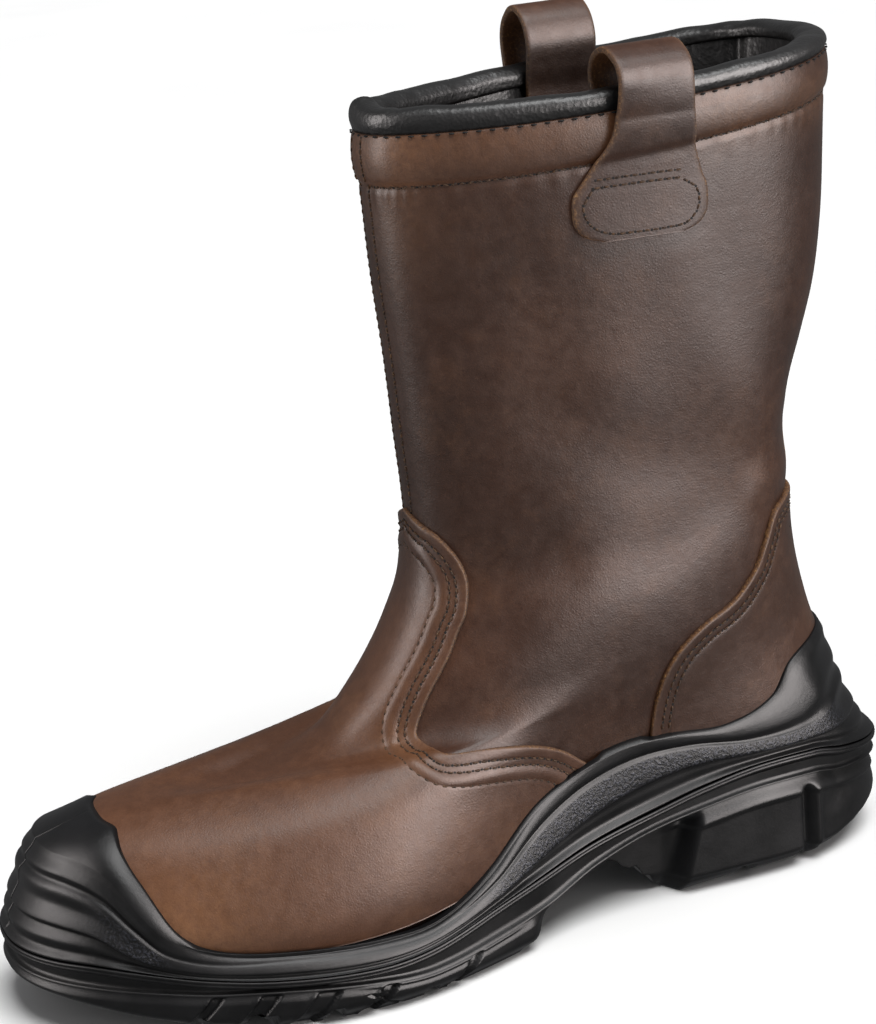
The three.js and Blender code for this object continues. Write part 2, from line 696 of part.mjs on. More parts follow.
// Midsole: seat in the outsole, side rings up to the lip, less the upper and its overlays
const seatHeight = (s) => footbed(s) - midsoleFloor;
const seatRing = (inset, lift) => soleAngles.map((phi) => {
  const point = planPoint(phi, inset, 0);
  return point.setZ(seatHeight(heelCentre - point.y) + lift);
});
const midsoleRings = [seatRing(seatInset + clear2, clearance), ...reliefRows.map(midsoleRing)];
const pocket = fullForm(overlayOut + clearance)
  .intersect(sidePrism(vampOutline, clear2).add(sidePrism(counterOutline, clear2)));
const midsole = solidOf(ringSurface(midsoleRings, 'across')).subtract(innerForm).subtract(pocket);
addMesh('midsole', geometryOf(midsole), soleBlack, 0.6);

// Ring of the outsole at an inset from the plan and a height that follows the side lines
const outsoleRing = (insetOf, heightOf) => soleAngles.map((phi) => {
  const t = stationOf(phi);
  return planPoint(phi, insetOf(t), heightOf(t));
});
const edgeHeight = (t) => sideLine('edge', t) - clearance / 2;
const shelfHeight = (t) => Math.min(sideLine('shelf', t), edgeHeight(t) - flangeHeight * 1.6);
const groundHeight = (t) => Math.max(sideLine('ground', t), 0);
const groundInset = (t) => (
  sideInset + heelInset * (1 - smoothStep(t, 0.2, 0.4)) + toeInset * smoothStep(t, 0.75, 1)
);
const outsoleRings = [
  outsoleRing(groundInset, groundHeight),
  outsoleRing(() => 1.2, (t) => groundHeight(t) + bevelHeight),
  outsoleRing(() => 0.8, shelfHeight),
  outsoleRing(() => grooveDepth, (t) => shelfHeight(t) + 0.6),
  outsoleRing(() => grooveDepth, (t) => edgeHeight(t) - flangeHeight),
  outsoleRing(() => 0, (t) => edgeHeight(t) - flangeHeight + 0.5),
  outsoleRing(() => 0.4, edgeHeight),
  seatRing(seatInset, -clearance),
];
const outsoleForm = solidOf(ringSurface(outsoleRings, 'across'));
const archOutline = archCut.map((row) => [row.at * soleLength, row.up * heelHeight]);

// Groove across the tread, bent to a shallow vee that points to the toe
function treadGroove(row) {
  const wide = row.wide * heelHeight;
  const s = row.at * soleLength;
  const vee = row.vee * ballWidth / 2;
  const reach = ballWidth;
  const y = heelCentre - s;
  const shape = new THREE.Shape([
    new THREE.Vector2(-reach, y + vee),
    new THREE.Vector2(0, y - vee),
    new THREE.Vector2(reach, y + vee),
    new THREE.Vector2(reach, y + vee + wide),
    new THREE.Vector2(0, y - vee + wide),
    new THREE.Vector2(-reach, y + vee + wide),
  ]);
  const top = groundHeight(row.at) + row.deep * heelHeight;
  const geometry = new THREE.ExtrudeGeometry(shape, { depth: top + wide, bevelEnabled: false, steps: 1 });
  geometry.translate(0, 0, -wide);
  return solidOf(geometry);
}
const grooves = treadGrooves.map(treadGroove).reduce((sum, groove) => sum.add(groove));
const outsole = outsoleForm.subtract(sidePrism(archOutline, 0)).subtract(grooves);
addMesh('outsole', geometryOf(outsole), soleBlack, 0.65);

// Insole: it fills the bottom of the upper and rests on the midsole
const insoleRing = (lift) => upperAngles.map((phi) => {
  const v = rowAtHeight(phi, skin(phi, 0).z + lift + 0.01);
  const point = offsetSkin(phi, v, -upperWall - insoleMargin);
  return point.setZ(footbed(heelCentre - point.y) + lift);
});
addMesh('insole', ringSurface([insoleRing(0), insoleRing(insoleThickness)], 'across'), soleBlack, 0.9);

// Point beside the rim: out from the skin along its level normal, up from the rim's edge
function rimPoint(phi, out, up) {
  const normal = skinNormal(phi, topRow).setZ(0).normalize();
  const edge = skin(phi, topRow);
  return edge.clone().addScaledVector(normal, out).setZ(edge.z + up);
}

// Binding: a roll that closes the leather and its padding along the rim
const collarWall = upperWall + clearance + liningThickness;
const rollRings = rollRows.map((row) => upperAngles.map((phi) => {
  const height = THREE.MathUtils.lerp(rollBack, rollFront, (1 - Math.cos(phi)) / 2);
  return rimPoint(phi, row.bulge * rollBulge - row.in * collarWall, clearance + row.up * height);
}));
addMesh('collar_binding', ringSurface(rollRings, 'joined'), soleBlack, 0.6);

// Padded lining inside the top of the shaft
const liningRings = liningRows.map((row) => upperAngles.map((phi) => {
  const out = -upperWall - clearance - row.in * liningThickness;
  if (row.down === 0) return rimPoint(phi, out, 0);
  const height = skin(phi, topRow).z - row.down * liningDepth;
  return offsetSkin(phi, rowAtHeight(phi, height), out);
}));
addMesh('collar_lining', ringSurface(liningRings, 'joined'), soleBlack, 0.8);

// Ring round a loop's strap at one row of its path: across its outer face, back across its inner face
// The path runs sideways from the skin; flat rows leave the curve of the shaft for a straight strap
function loopRing(loop, path, k) {
  const row = loopRows[k];
  const before = path[Math.max(k - 1, 0)];
  const after = path[Math.min(k + 1, path.length - 1)];
  const along = after.clone().sub(before).normalize();
  const normal = new THREE.Vector2(along.y, -along.x);
  const across = [-1, -0.5, 0, 0.5, 1];
  const middle = loop.at * soleLength + row.ahead * tabWidth;
  const skinX = (s) => {
    const { phi, v } = skinPlace(s, Math.min(path[k].y, rimHeight), loop.side);
    return Math.abs(skin(phi, v).x);
  };
  const facePoint = (u, face) => {
    const s = middle + u * row.wide * tabWidth / 2;
    const base = THREE.MathUtils.lerp(skinX(s), skinX(middle), row.flat);
    const centre = path[k].clone().addScaledVector(normal, face * loopThickness / 2);
    return place(loop.side * (base + centre.x), s, centre.y);
  };
  return [...across.map((u) => facePoint(u, 1)), ...across.reverse().map((u) => facePoint(u, -1))];
}

// Pull loops with their sewn tabs, one on each side of the shaft
const strapOuter = clearance + loopThickness / 2;
const strapInner = -collarWall - rollBulge - clearance - loopThickness / 2;
loops.forEach((loop) => {
  const path = loopRows.map((row) => new THREE.Vector2(
    THREE.MathUtils.lerp(strapOuter, strapInner, row.over) + row.bulge * loopThickness,
    rimHeight + row.up * (row.up < 0 ? tabDepth : loop.rise),
  ));
  const rings = loopRows.map((_, k) => loopRing(loop, path, k));
  addMesh(loop.name, ringSurface(rings, 'across'), shaftLeather, 0.6);
});

export default group;
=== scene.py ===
# Looks of a left pull-on leather work boot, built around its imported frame.
import math
import bmesh
import bpy
import numpy as np
from mathutils import Matrix, Vector


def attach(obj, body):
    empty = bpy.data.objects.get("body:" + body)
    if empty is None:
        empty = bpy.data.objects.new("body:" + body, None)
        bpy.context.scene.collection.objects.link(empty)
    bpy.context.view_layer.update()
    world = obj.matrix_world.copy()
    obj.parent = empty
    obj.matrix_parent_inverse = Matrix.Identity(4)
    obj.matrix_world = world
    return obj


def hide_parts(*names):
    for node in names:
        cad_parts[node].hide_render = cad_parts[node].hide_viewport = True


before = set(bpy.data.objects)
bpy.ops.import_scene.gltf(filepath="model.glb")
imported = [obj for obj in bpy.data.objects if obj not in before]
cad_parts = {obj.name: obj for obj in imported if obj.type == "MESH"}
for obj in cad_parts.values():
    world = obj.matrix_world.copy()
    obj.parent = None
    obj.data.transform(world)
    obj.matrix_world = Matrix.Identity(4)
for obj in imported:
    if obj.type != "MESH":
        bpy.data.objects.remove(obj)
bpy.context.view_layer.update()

mm = 0.001  # shapes are worked out in millimetres and written in metres
dice = np.random.default_rng(7)


# The boot's own sizes in millimetres, the same as those of the frame
boot = dict(
    soleLength=306.0, heelFlare=8.5, toeFlare=1.5, ballWidth=110.0, heelWidth=79.0, heelCentre=46.0,
    heelHeight=38.0, sideHeight=56.0, toeHeight=66.8, instepHeight=107.0, ankleHeight=152.0, rimHeight=269.0,
    collarLength=159.0, collarWidth=90.0, collarSlant=25.0, collarRise=10.5,
    wall=2.4, overlay=1.6, lipWall=1.3, clear=0.3, midsoleFloor=8.0, seatInset=7.0,
    flangeHeight=2.6, grooveDepth=2.6, ribDepth=1.1, bevelHeight=7.0, sideInset=2.5, heelInset=7.0, toeInset=8.0,
    rollFront=7.5, rollBack=4.6, rollBulge=0.8, lining=6.0, liningDepth=42.0, backstayWidth=28.0,
    loopThickness=2.2, tabWidth=44.0, tabDepth=38.0,
)
overlayOut = boot["clear"] + boot["overlay"]


def table(names, *rows):
    """Columns by name, from rows written one under another."""
    return dict(zip(names.split(), np.array(rows, float).T))


footbedRows = table("at up", (0, 1), (.2, 1), (.32, .93), (.5, .68), (.64, .56), (.78, .56), (.9, .68), (1, .84))
bowRows = table("at side", (0, 0), (.2, .002), (.38, .025), (.51, .05), (.65, .038), (.78, 0), (.9, -.045), (1, -.115))
footEnds = table(
    "backAt backUp frontAt toeUp instepUp sag bow",
    (.036, 0, .943, .47, 0, 1, 1),
    (.031, .105, .963, .61, 0, .95, 1),
    (.034, .21, .953, .775, 0, .72, .95),
    (.045, .315, .928, .92, 0, .4, .9),
    (.058, .41, .843, 1.01, 0, .15, .85),
    (.069, .52, .745, 1, -.03, .05, .75),
    (.078, .64, .66, 1, .1, 0, .6),
    (.083, .755, .6, 1, .47, 0, .4),
    (.083, .877, .55, 1, .98, 0, .15),
)
footWidths = table(
    "heel waist ball toe",
    (.41, .26, .405, .32),
    (.44, .28, .43, .34),
    (.445, .297, .41, .305),
    (.44, .315, .365, .235),
    (.435, .335, .305, .15),
    (.435, .35, .3, .115),
    (.44, .365, .31, .15),
    (.445, .372, .33, .185),
    (.445, .372, .34, .2),
)
shaftEnds = table(
    "up slant backAt depth lift",
    (0, 1, .0793, .852, 0),
    (.137, .76, .0748, .853, 0),
    (.29, .52, .0534, .9, .05),
    (.444, .28, .0345, .944, .15),
    (.615, .14, .0229, .974, .35),
    (.803, .04, .0181, .989, .65),
    (1, 0, .0134, 1, 1),
)
shaftWidths = table(
    "heel waist ball toe",
    (.39, .452, .405, .245),
    (.39, .452, .4, .24),
    (.395, .458, .405, .245),
    (.405, .466, .412, .247),
    (.418, .478, .422, .25),
    (.43, .49, .43, .255),
    (.436, .5, .436, .258),
)
widthStations = np.array([.13, .4, .66, .9])
stationAngles = np.arccos(1 - 2 * widthStations)
solePlan = dict(widths=np.array([.364, .333, .485, .37]), heelRound=.7, toeRound=.8)
sideRows = table(
    "at edge bandLow bandTop lip shelf ground",
    (0, .61, .82, 1.06, 1.36, .48, .15),
    (.04, .64, .82, 1.04, 1.35, .51, .08),
    (.09, .7, .83, .98, 1.29, .55, .015),
    (.13, .76, .84, .93, 1.13, .6, 0),
    (.2, .77, .85, .93, 1.045, .61, 0),
    (.265, .71, .86, .98, 1.075, .56, 0),
    (.33, .62, .81, .98, 1.08, .49, 0),
    (.395, .54, .71, .9, 1.0, .38, 0),
    (.46, .46, .58, .75, .86, .25, 0),
    (.527, .4, .45, .53, .6, .2, 0),
    (.61, .31, .35, .39, .43, .16, 0),
    (.675, .29, .33, .38, .42, .19, 0),
    (.775, .33, .37, .42, .46, .25, 0),
    (.84, .385, .42, .46, .51, .28, .03),
    (.88, .43, .48, .54, .6, .305, .065),
    (.91, .46, .55, .68, .77, .32, .095),
    (.94, .48, .64, .82, .95, .33, .13),
    (.97, .48, .67, .88, 1.03, .335, .16),
    (1, .48, .68, .9, 1.05, .34, .18),
)


def through(keys, values, place):
    """Cubic pieces through the rows of a column; the slope at a row is that of the line between its neighbours."""
    keys = np.asarray(keys, float)
    values = np.asarray(values, float)
    slopes = np.empty_like(values)
    gaps = (keys[2:] - keys[:-2]).reshape((-1,) + (1,) * (values.ndim - 1))
    slopes[1:-1] = (values[2:] - values[:-2]) / gaps
    slopes[0] = (values[1] - values[0]) / (keys[1] - keys[0])
    slopes[-1] = (values[-1] - values[-2]) / (keys[-1] - keys[-2])
    place = np.clip(place, keys[0], keys[-1])
    k = np.clip(np.searchsorted(keys, place, side="right") - 1, 0, len(keys) - 2)
    if values.ndim == 1:
        a, b, m0, m1 = values[k], values[k + 1], slopes[k], slopes[k + 1]
    else:
        own = np.arange(values.shape[1])
        a, b, m0, m1 = values[k, own], values[k + 1, own], slopes[k, own], slopes[k + 1, own]
    span = keys[k + 1] - keys[k]
    t = (place - keys[k]) / span
    m0, m1, rise = m0 * span, m1 * span, b - a
    return a + t * (m0 + t * (3 * rise - 2 * m0 - m1 + t * (m0 + m1 - 2 * rise)))


def mix(a, b, t):
    return a + (b - a) * t


def smoothStep(x, low, high):
    """0 below low, 1 above high, with level ends between."""
    t = np.clip((x - low) / (high - low), 0, 1)
    return t * t * (3 - 2 * t)


def hump(x, centre, width):
    """Soft bell of height 1 round a centre."""
    return np.exp(-((x - centre) / width) ** 2)


def footbed(s):
    return boot["heelHeight"] * through(footbedRows["at"], footbedRows["up"], s / boot["soleLength"])


def bowAt(s):
    return boot["ballWidth"] * through(bowRows["at"], bowRows["side"], s / boot["soleLength"])


def sideLine(name, t):
    return boot["sideHeight"] * through(sideRows["at"], sideRows[name], t)


def placed(x, s, z):
    """A point from its sideways place, its length from the heel and its height."""
    return np.stack(np.broadcast_arrays(x, boot["heelCentre"] - s, z), -1)


def makeSections():
    """The upper's cross-sections from the feather line to the rim, a column for each measure."""
    b = boot
    shaftRise = b["rimHeight"] - b["ankleHeight"]
    foot, shaft = len(footEnds["bow"]), len(shaftEnds["up"])
    both = {
        "backS": (footEnds["backAt"] * b["soleLength"],
                  shaftEnds["backAt"] * b["soleLength"]),
        "backZ": (mix(b["heelHeight"], b["ankleHeight"], footEnds["backUp"]),
                  b["ankleHeight"] + shaftEnds["up"] * shaftRise),
        "frontS": (footEnds["frontAt"] * b["soleLength"],
                   shaftEnds["backAt"] * b["soleLength"] + shaftEnds["depth"] * b["collarLength"]),
        "frontZ": (footEnds["toeUp"] * b["toeHeight"] + footEnds["instepUp"] * (b["instepHeight"] - b["toeHeight"]),
                   b["ankleHeight"] + shaftEnds["up"] * shaftRise - shaftEnds["slant"] * b["collarSlant"]),
        "heel": (footWidths["heel"] * b["heelWidth"], shaftWidths["heel"] * b["collarWidth"]),
        "waist": (footWidths["waist"] * b["ballWidth"], shaftWidths["waist"] * b["collarWidth"]),
        "ball": (footWidths["ball"] * b["ballWidth"], shaftWidths["ball"] * b["collarWidth"]),
        "toe": (footWidths["toe"] * b["ballWidth"], shaftWidths["toe"] * b["collarWidth"]),
        "sag": (footEnds["sag"], np.zeros(shaft)),
        "bow": (footEnds["bow"], np.zeros(shaft)),
        "lift": (np.zeros(foot), shaftEnds["lift"]),
        "heelRound": (np.full(foot, .72), np.full(shaft, .8)),
        "toeRound": (np.full(foot, .8), np.full(shaft, .86)),
    }
    return {name: np.concatenate(parts) for name, parts in both.items()}


sections = makeSections()
sectionKeys = np.arange(len(sections["bow"]), dtype=float)
topRow = sectionKeys[-1]


def outlineHalf(widths, heelRound, toeRound, angle):
    """Half width of an egg outline: the widths at the stations, freed of the end rounding, smoothed, rounded again."""
    roundAt = mix(heelRound, toeRound, widthStations[:, None])
    full = widths / np.sin(stationAngles)[:, None] ** roundAt
    full = np.concatenate([full[:1], full, full[-1:]])
    keys = np.concatenate([[0], stationAngles, [np.pi]])
    t = (1 - np.cos(angle)) / 2
    return through(keys, full, angle) * np.maximum(np.sin(angle), 0) ** mix(heelRound, toeRound, t)


def skin(phi, v):
    """Outer skin of the upper: phi goes round from the back over the outer side, v counts the sections upwards."""
    phi, v = np.broadcast_arrays(np.asarray(phi, float), np.asarray(v, float))
    shape = phi.shape
    phi, v = phi.ravel(), v.ravel()
    turn = np.arctan2(np.sin(phi), np.cos(phi))
    angle = np.abs(turn)
    row = {name: through(sectionKeys, column, v) for name, column in sections.items()}
    t = (1 - np.cos(angle)) / 2
    s = mix(row["backS"], row["frontS"], t)
    low = {name: column[0] for name, column in sections.items()}
    chord = mix(low["backZ"], low["frontZ"], (s - low["backS"]) / (low["frontS"] - low["backS"]))
    widths = np.stack([row["heel"], row["waist"], row["ball"], row["toe"]])
    half = outlineHalf(widths, row["heelRound"], row["toeRound"], angle)
    x = row["bow"] * bowAt(s) + np.sign(turn) * half
    z = mix(row["backZ"], row["frontZ"], t) + row["sag"] * (footbed(s) - chord)
    z = z + row["lift"] * boot["collarRise"] * (1 - t) ** 2
    return placed(x, s, z).reshape(shape + (3,))


def unit(a):
    return a / np.maximum(np.linalg.norm(a, axis=-1, keepdims=True), 1e-9)


def skinNormal(phi, v, step=0.02):
    """Outward direction, from the differences across a small step each way."""
    around = skin(phi + step, v) - skin(phi - step, v)
    upward = skin(phi, np.minimum(v + step, topRow)) - skin(phi, np.maximum(v - step, 0))
    return unit(np.cross(upward, around))


# Soft troughs and ridges of the leather, listed one by one: side 1 outer, -1 inner, 0 both
# Each follows a path of lengths and heights; a negative depth stands proud
creases = [
    dict(side=0, path=[(172, 112), (150, 121), (122, 128)], width=8, depth=.8),
    dict(side=0, path=[(184, 93), (166, 101), (140, 108)], width=7, depth=.5),
    dict(side=0, path=[(205, 74), (186, 82), (168, 87)], width=9, depth=.35),
    dict(side=1, path=[(118, 176), (96, 160), (70, 150)], width=15, depth=1.1),
    dict(side=1, path=[(60, 138), (88, 128), (118, 124)], width=11, depth=.9),
    dict(side=1, path=[(44, 162), (62, 186), (74, 222)], width=13, depth=-.9),
    dict(side=1, path=[(128, 238), (122, 205), (118, 178)], width=14, depth=.8),
    dict(side=-1, path=[(60, 140), (90, 130), (120, 122)], width=12, depth=1.2),
    dict(side=-1, path=[(110, 190), (86, 170), (60, 158)], width=16, depth=1.1),
    dict(side=-1, path=[(50, 210), (70, 232), (90, 246)], width=12, depth=-.8),
    dict(side=0, path=[(22, 150), (30, 154), (48, 152)], width=8, depth=1.1),
    dict(side=0, path=[(24, 138), (34, 141), (50, 138)], width=6, depth=-.5),
    dict(side=1, path=[(222, 62), (214, 50), (204, 40)], width=7, depth=.5),
    dict(side=-1, path=[(218, 62), (210, 50), (200, 40)], width=7, depth=.6),
]


def alongPath(rows, count):
    """Points spaced evenly on cubic pieces through the rows of a path."""
    rows = np.asarray(rows, float)
    key = np.concatenate([[0], np.cumsum(np.linalg.norm(np.diff(rows, axis=0), axis=1))])
    fine = np.linspace(0, key[-1], 40 * len(rows))
    curve = np.stack([through(key, rows[:, k], fine) for k in range(rows.shape[1])], 1)
    length = np.concatenate([[0], np.cumsum(np.linalg.norm(np.diff(curve, axis=0), axis=1))])
    even = np.linspace(0, length[-1], count)
    return np.stack([np.interp(even, length, curve[:, k]) for k in range(rows.shape[1])], 1)


def creaseDepth(points):
    """How far the leather lies in or out at a point: a bell across the nearest part of each path."""
    s = boot["heelCentre"] - points[..., 1]
    z = points[..., 2]
    side = np.clip(points[..., 0] / 8, -1, 1)
    total = np.zeros(s.shape)
    for crease in creases:
        path = alongPath(crease["path"], 24)
        gap = np.full(s.shape, 1e9)
        for a, b in path:
            gap = np.minimum(gap, (s - a) ** 2 + (z - b) ** 2)
        share = 1 if crease["side"] == 0 else np.clip(side * crease["side"], 0, 1)
        total -= crease["depth"] * share * np.exp(-gap / crease["width"] ** 2)
    slow = np.sin(s / 17 + z / 23) * np.sin(z / 19 - s / 41 + 1.3) + .6 * np.sin(s / 9 - z / 31 + 2) * np.sin(z / 12)
    total += .22 * slow
    return total * smoothStep(z, 60, 84) * (1 - smoothStep(z, 238, 256))


def onSkin(phi, v, out):
    """Point of the leather at a distance outside the skin, with its soft creases."""
    points = skin(phi, v)
    return points + skinNormal(phi, v) * (out + creaseDepth(points))[..., None]


def rowAtHeight(phi, z):
    """Section number at which the skin reaches a height, by halving."""
    low, high = np.zeros(np.shape(phi)), np.full(np.shape(phi), topRow)
    for _ in range(26):
        middle = (low + high) / 2
        under = skin(phi, middle)[..., 2] < z
        low, high = np.where(under, middle, low), np.where(under, high, middle)
    return (low + high) / 2


def skinPlace(s, z, side):
    """Angle and section of the skin's point at a length and height on one side."""
    phi = np.full(np.shape(s), np.pi / 2)
    for _ in range(14):
        v = rowAtHeight(phi, z)
        back, front = through(sectionKeys, sections["backS"], v), through(sectionKeys, sections["frontS"], v)
        phi = np.arccos(1 - 2 * np.clip((s - back) / (front - back), 0, 1))
    return side * phi, v


def movedOnSkin(phi, v, move):
    """Angle and section of the skin's nearest point to one moved by a vector, by a few Newton steps."""
    goal = skin(phi, v) + move
    step = 1e-3
    for _ in range(5):
        miss = goal - skin(phi, v)
        dPhi = (skin(phi + step, v) - skin(phi - step, v)) / (2 * step)
        dV = (skin(phi, v + step) - skin(phi, v - step)) / (2 * step)
        a, b, c = (dPhi * dPhi).sum(-1), (dPhi * dV).sum(-1), (dV * dV).sum(-1)
        p, q = (dPhi * miss).sum(-1), (dV * miss).sum(-1)
        det = np.maximum(a * c - b * b, 1e-6)
        phi = phi + np.clip((p * c - q * b) / det, -.2, .2)
        v = np.clip(v + np.clip((q * a - p * b) / det, -.5, .5), 0, topRow)
    return phi, v


def gridFaces(rows, columns, closeRows=False, closeColumns=False):
    """Quads between neighbouring points of a grid, joined round where it closes."""
    r = np.arange(rows if closeRows else rows - 1)[:, None]
    c = np.arange(columns if closeColumns else columns - 1)[None, :]
    r1, c1 = (r + 1) % rows, (c + 1) % columns
    quads = [r * columns + c, r * columns + c1, r1 * columns + c1, r1 * columns + c]
    return np.stack([np.broadcast_to(q, (r.size, c.size)) for q in quads], -1).reshape(-1, 4)


def capFaces(start, count):
    """Quads across a closed ring, from one half to the other."""
    j = np.arange(1, count // 2 - 1)
    left, right = start + j, start + count - 1 - j
    quads = np.stack([left, left + 1, right - 1, right], 1)
    first = [[start, start + 1, start + count - 2, start + count - 1]]
    return np.concatenate([first, quads])


def makePiece(name, points, faces, material, node=None, slot=None, weld=True, **marks):
    """A mesh from points in millimetres, turned so that its faces point outwards, riding on the boot's body."""
    points = points.reshape(-1, 3) * mm
    a, b, c = (points[faces[:, k]] for k in range(3))
    d = points[faces[:, -1]]
    volume = (np.cross(a, b) * c).sum() + (np.cross(a, c) * d).sum()
    faces = faces[:, ::-1] if volume < 0 else faces
    mesh = bpy.data.meshes.new(name)
    mesh.from_pydata(points.tolist(), [], faces.tolist())
    for mark, values in marks.items():
        layer = mesh.attributes.new(mark, "FLOAT", "POINT")
        layer.data.foreach_set("value", np.asarray(values, np.float32).ravel())
    if weld:
        work = bmesh.new()
        work.from_mesh(mesh)
        bmesh.ops.remove_doubles(work, verts=work.verts, dist=2e-6)
        bmesh.ops.dissolve_degenerate(work, edges=work.edges, dist=1e-7)
        work.to_mesh(mesh)
        work.free()
    mesh.shade_smooth()
    mesh.materials.append(material)
    piece = bpy.data.objects.new(name, mesh)
    bpy.context.scene.collection.objects.link(piece)
    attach(piece, "root")
    if node:
        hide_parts(node)
    return piece


# Camera: where the photograph was taken from, stopping above the floor
camera = dict(azimuth=68.572, elevation=17.657, roll=-5.170, distance=.7953,
              aim=(-.00948, -.09822, .1384), focalPixels=2383.65, longSide=1024, sensor=36)


def makeCamera(c):
    """A camera on the line from the aim, turned about that line by the roll."""
    az, el, roll = (math.radians(c[k]) for k in ("azimuth", "elevation", "roll"))
    back = Vector((math.sin(az) * math.cos(el), -math.cos(az) * math.cos(el), math.sin(el)))
    right = (-back).cross(Vector((0, 0, 1))).normalized()
    up = right.cross(-back)
    turnedRight = math.cos(roll) * right + math.sin(roll) * up
    turnedUp = -math.sin(roll) * right + math.cos(roll) * up
    data = bpy.data.cameras.new("camera")
    data.sensor_width = c["sensor"]
    data.lens = c["focalPixels"] * c["sensor"] / c["longSide"]
    data.clip_start, data.clip_end = .02, 60
    eye = bpy.data.objects.new("camera", data)
    turn = Matrix((turnedRight, turnedUp, back)).transposed().to_4x4()
    eye.matrix_world = Matrix.Translation(Vector(c["aim"]) + back * c["distance"]) @ turn
    bpy.context.scene.collection.objects.link(eye)
    bpy.context.scene.camera = eye
    return back, right


viewBack, viewRight = makeCamera(camera)
print("camera placed")


# Materials
def linear(hexValue):
    """A display colour as the linear colour that the shader takes."""
    parts = [int(hexValue[k:k + 2], 16) / 255 for k in (1, 3, 5)]
    return [c / 12.92 if c <= .04045 else ((c + .055) / 1.055) ** 2.4 for c in parts] + [1]


def size(millimetres):
    """Noise scale whose features are this long."""
    return 1 / (millimetres * mm)


def add(tree, kind, links=None, **settings):
    """Adds a node, sets its values or inputs, and links its inputs."""
    node = tree.nodes.new(kind)
    for name, value in settings.items():
        if hasattr(node, name):
            setattr(node, name, value)
    for name, value in (links or {}).items():
        socket = node.inputs[name]
        if isinstance(value, bpy.types.NodeSocket):
            tree.links.new(value, socket)
        else:
            socket.default_value = value
    return node


def ramp(tree, factor, stops):
    """A colour ramp through (place, colour) stops."""
    node = add(tree, "ShaderNodeValToRGB", {"Fac": factor})
    band = node.color_ramp
    while len(band.elements) < len(stops):
        band.elements.new(.5)
    for element, (place, colour) in zip(band.elements, stops):
        element.position = place
        element.color = linear(colour) if isinstance(colour, str) else [colour] * 3 + [1]
    return node.outputs["Color"]


def startMaterial(name):
    material = bpy.data.materials.new(name)
    material.use_nodes = True
    tree = material.node_tree
    tree.nodes.clear()
    shader = add(tree, "ShaderNodeBsdfPrincipled")
    out = add(tree, "ShaderNodeOutputMaterial", {"Surface": shader.outputs[0]})
    out.target = "ALL"
    where = add(tree, "ShaderNodeTexCoord").outputs["Object"]
    return material, tree, shader, where


# Waxed full-grain leather, drum dyed and finished with wax: deep brown with a soft greyish sheen,
# fine pores, cloudy tone, and raw tan edges where it is cut
leather = dict(
    shaft=dict(dark="#301a0e", middle="#412516", light="#553421", rub="#84593a"),
    vamp=dict(dark="#3b2215", middle="#4e2f1e", light="#643f29", rub="#8c5f3b"),
)


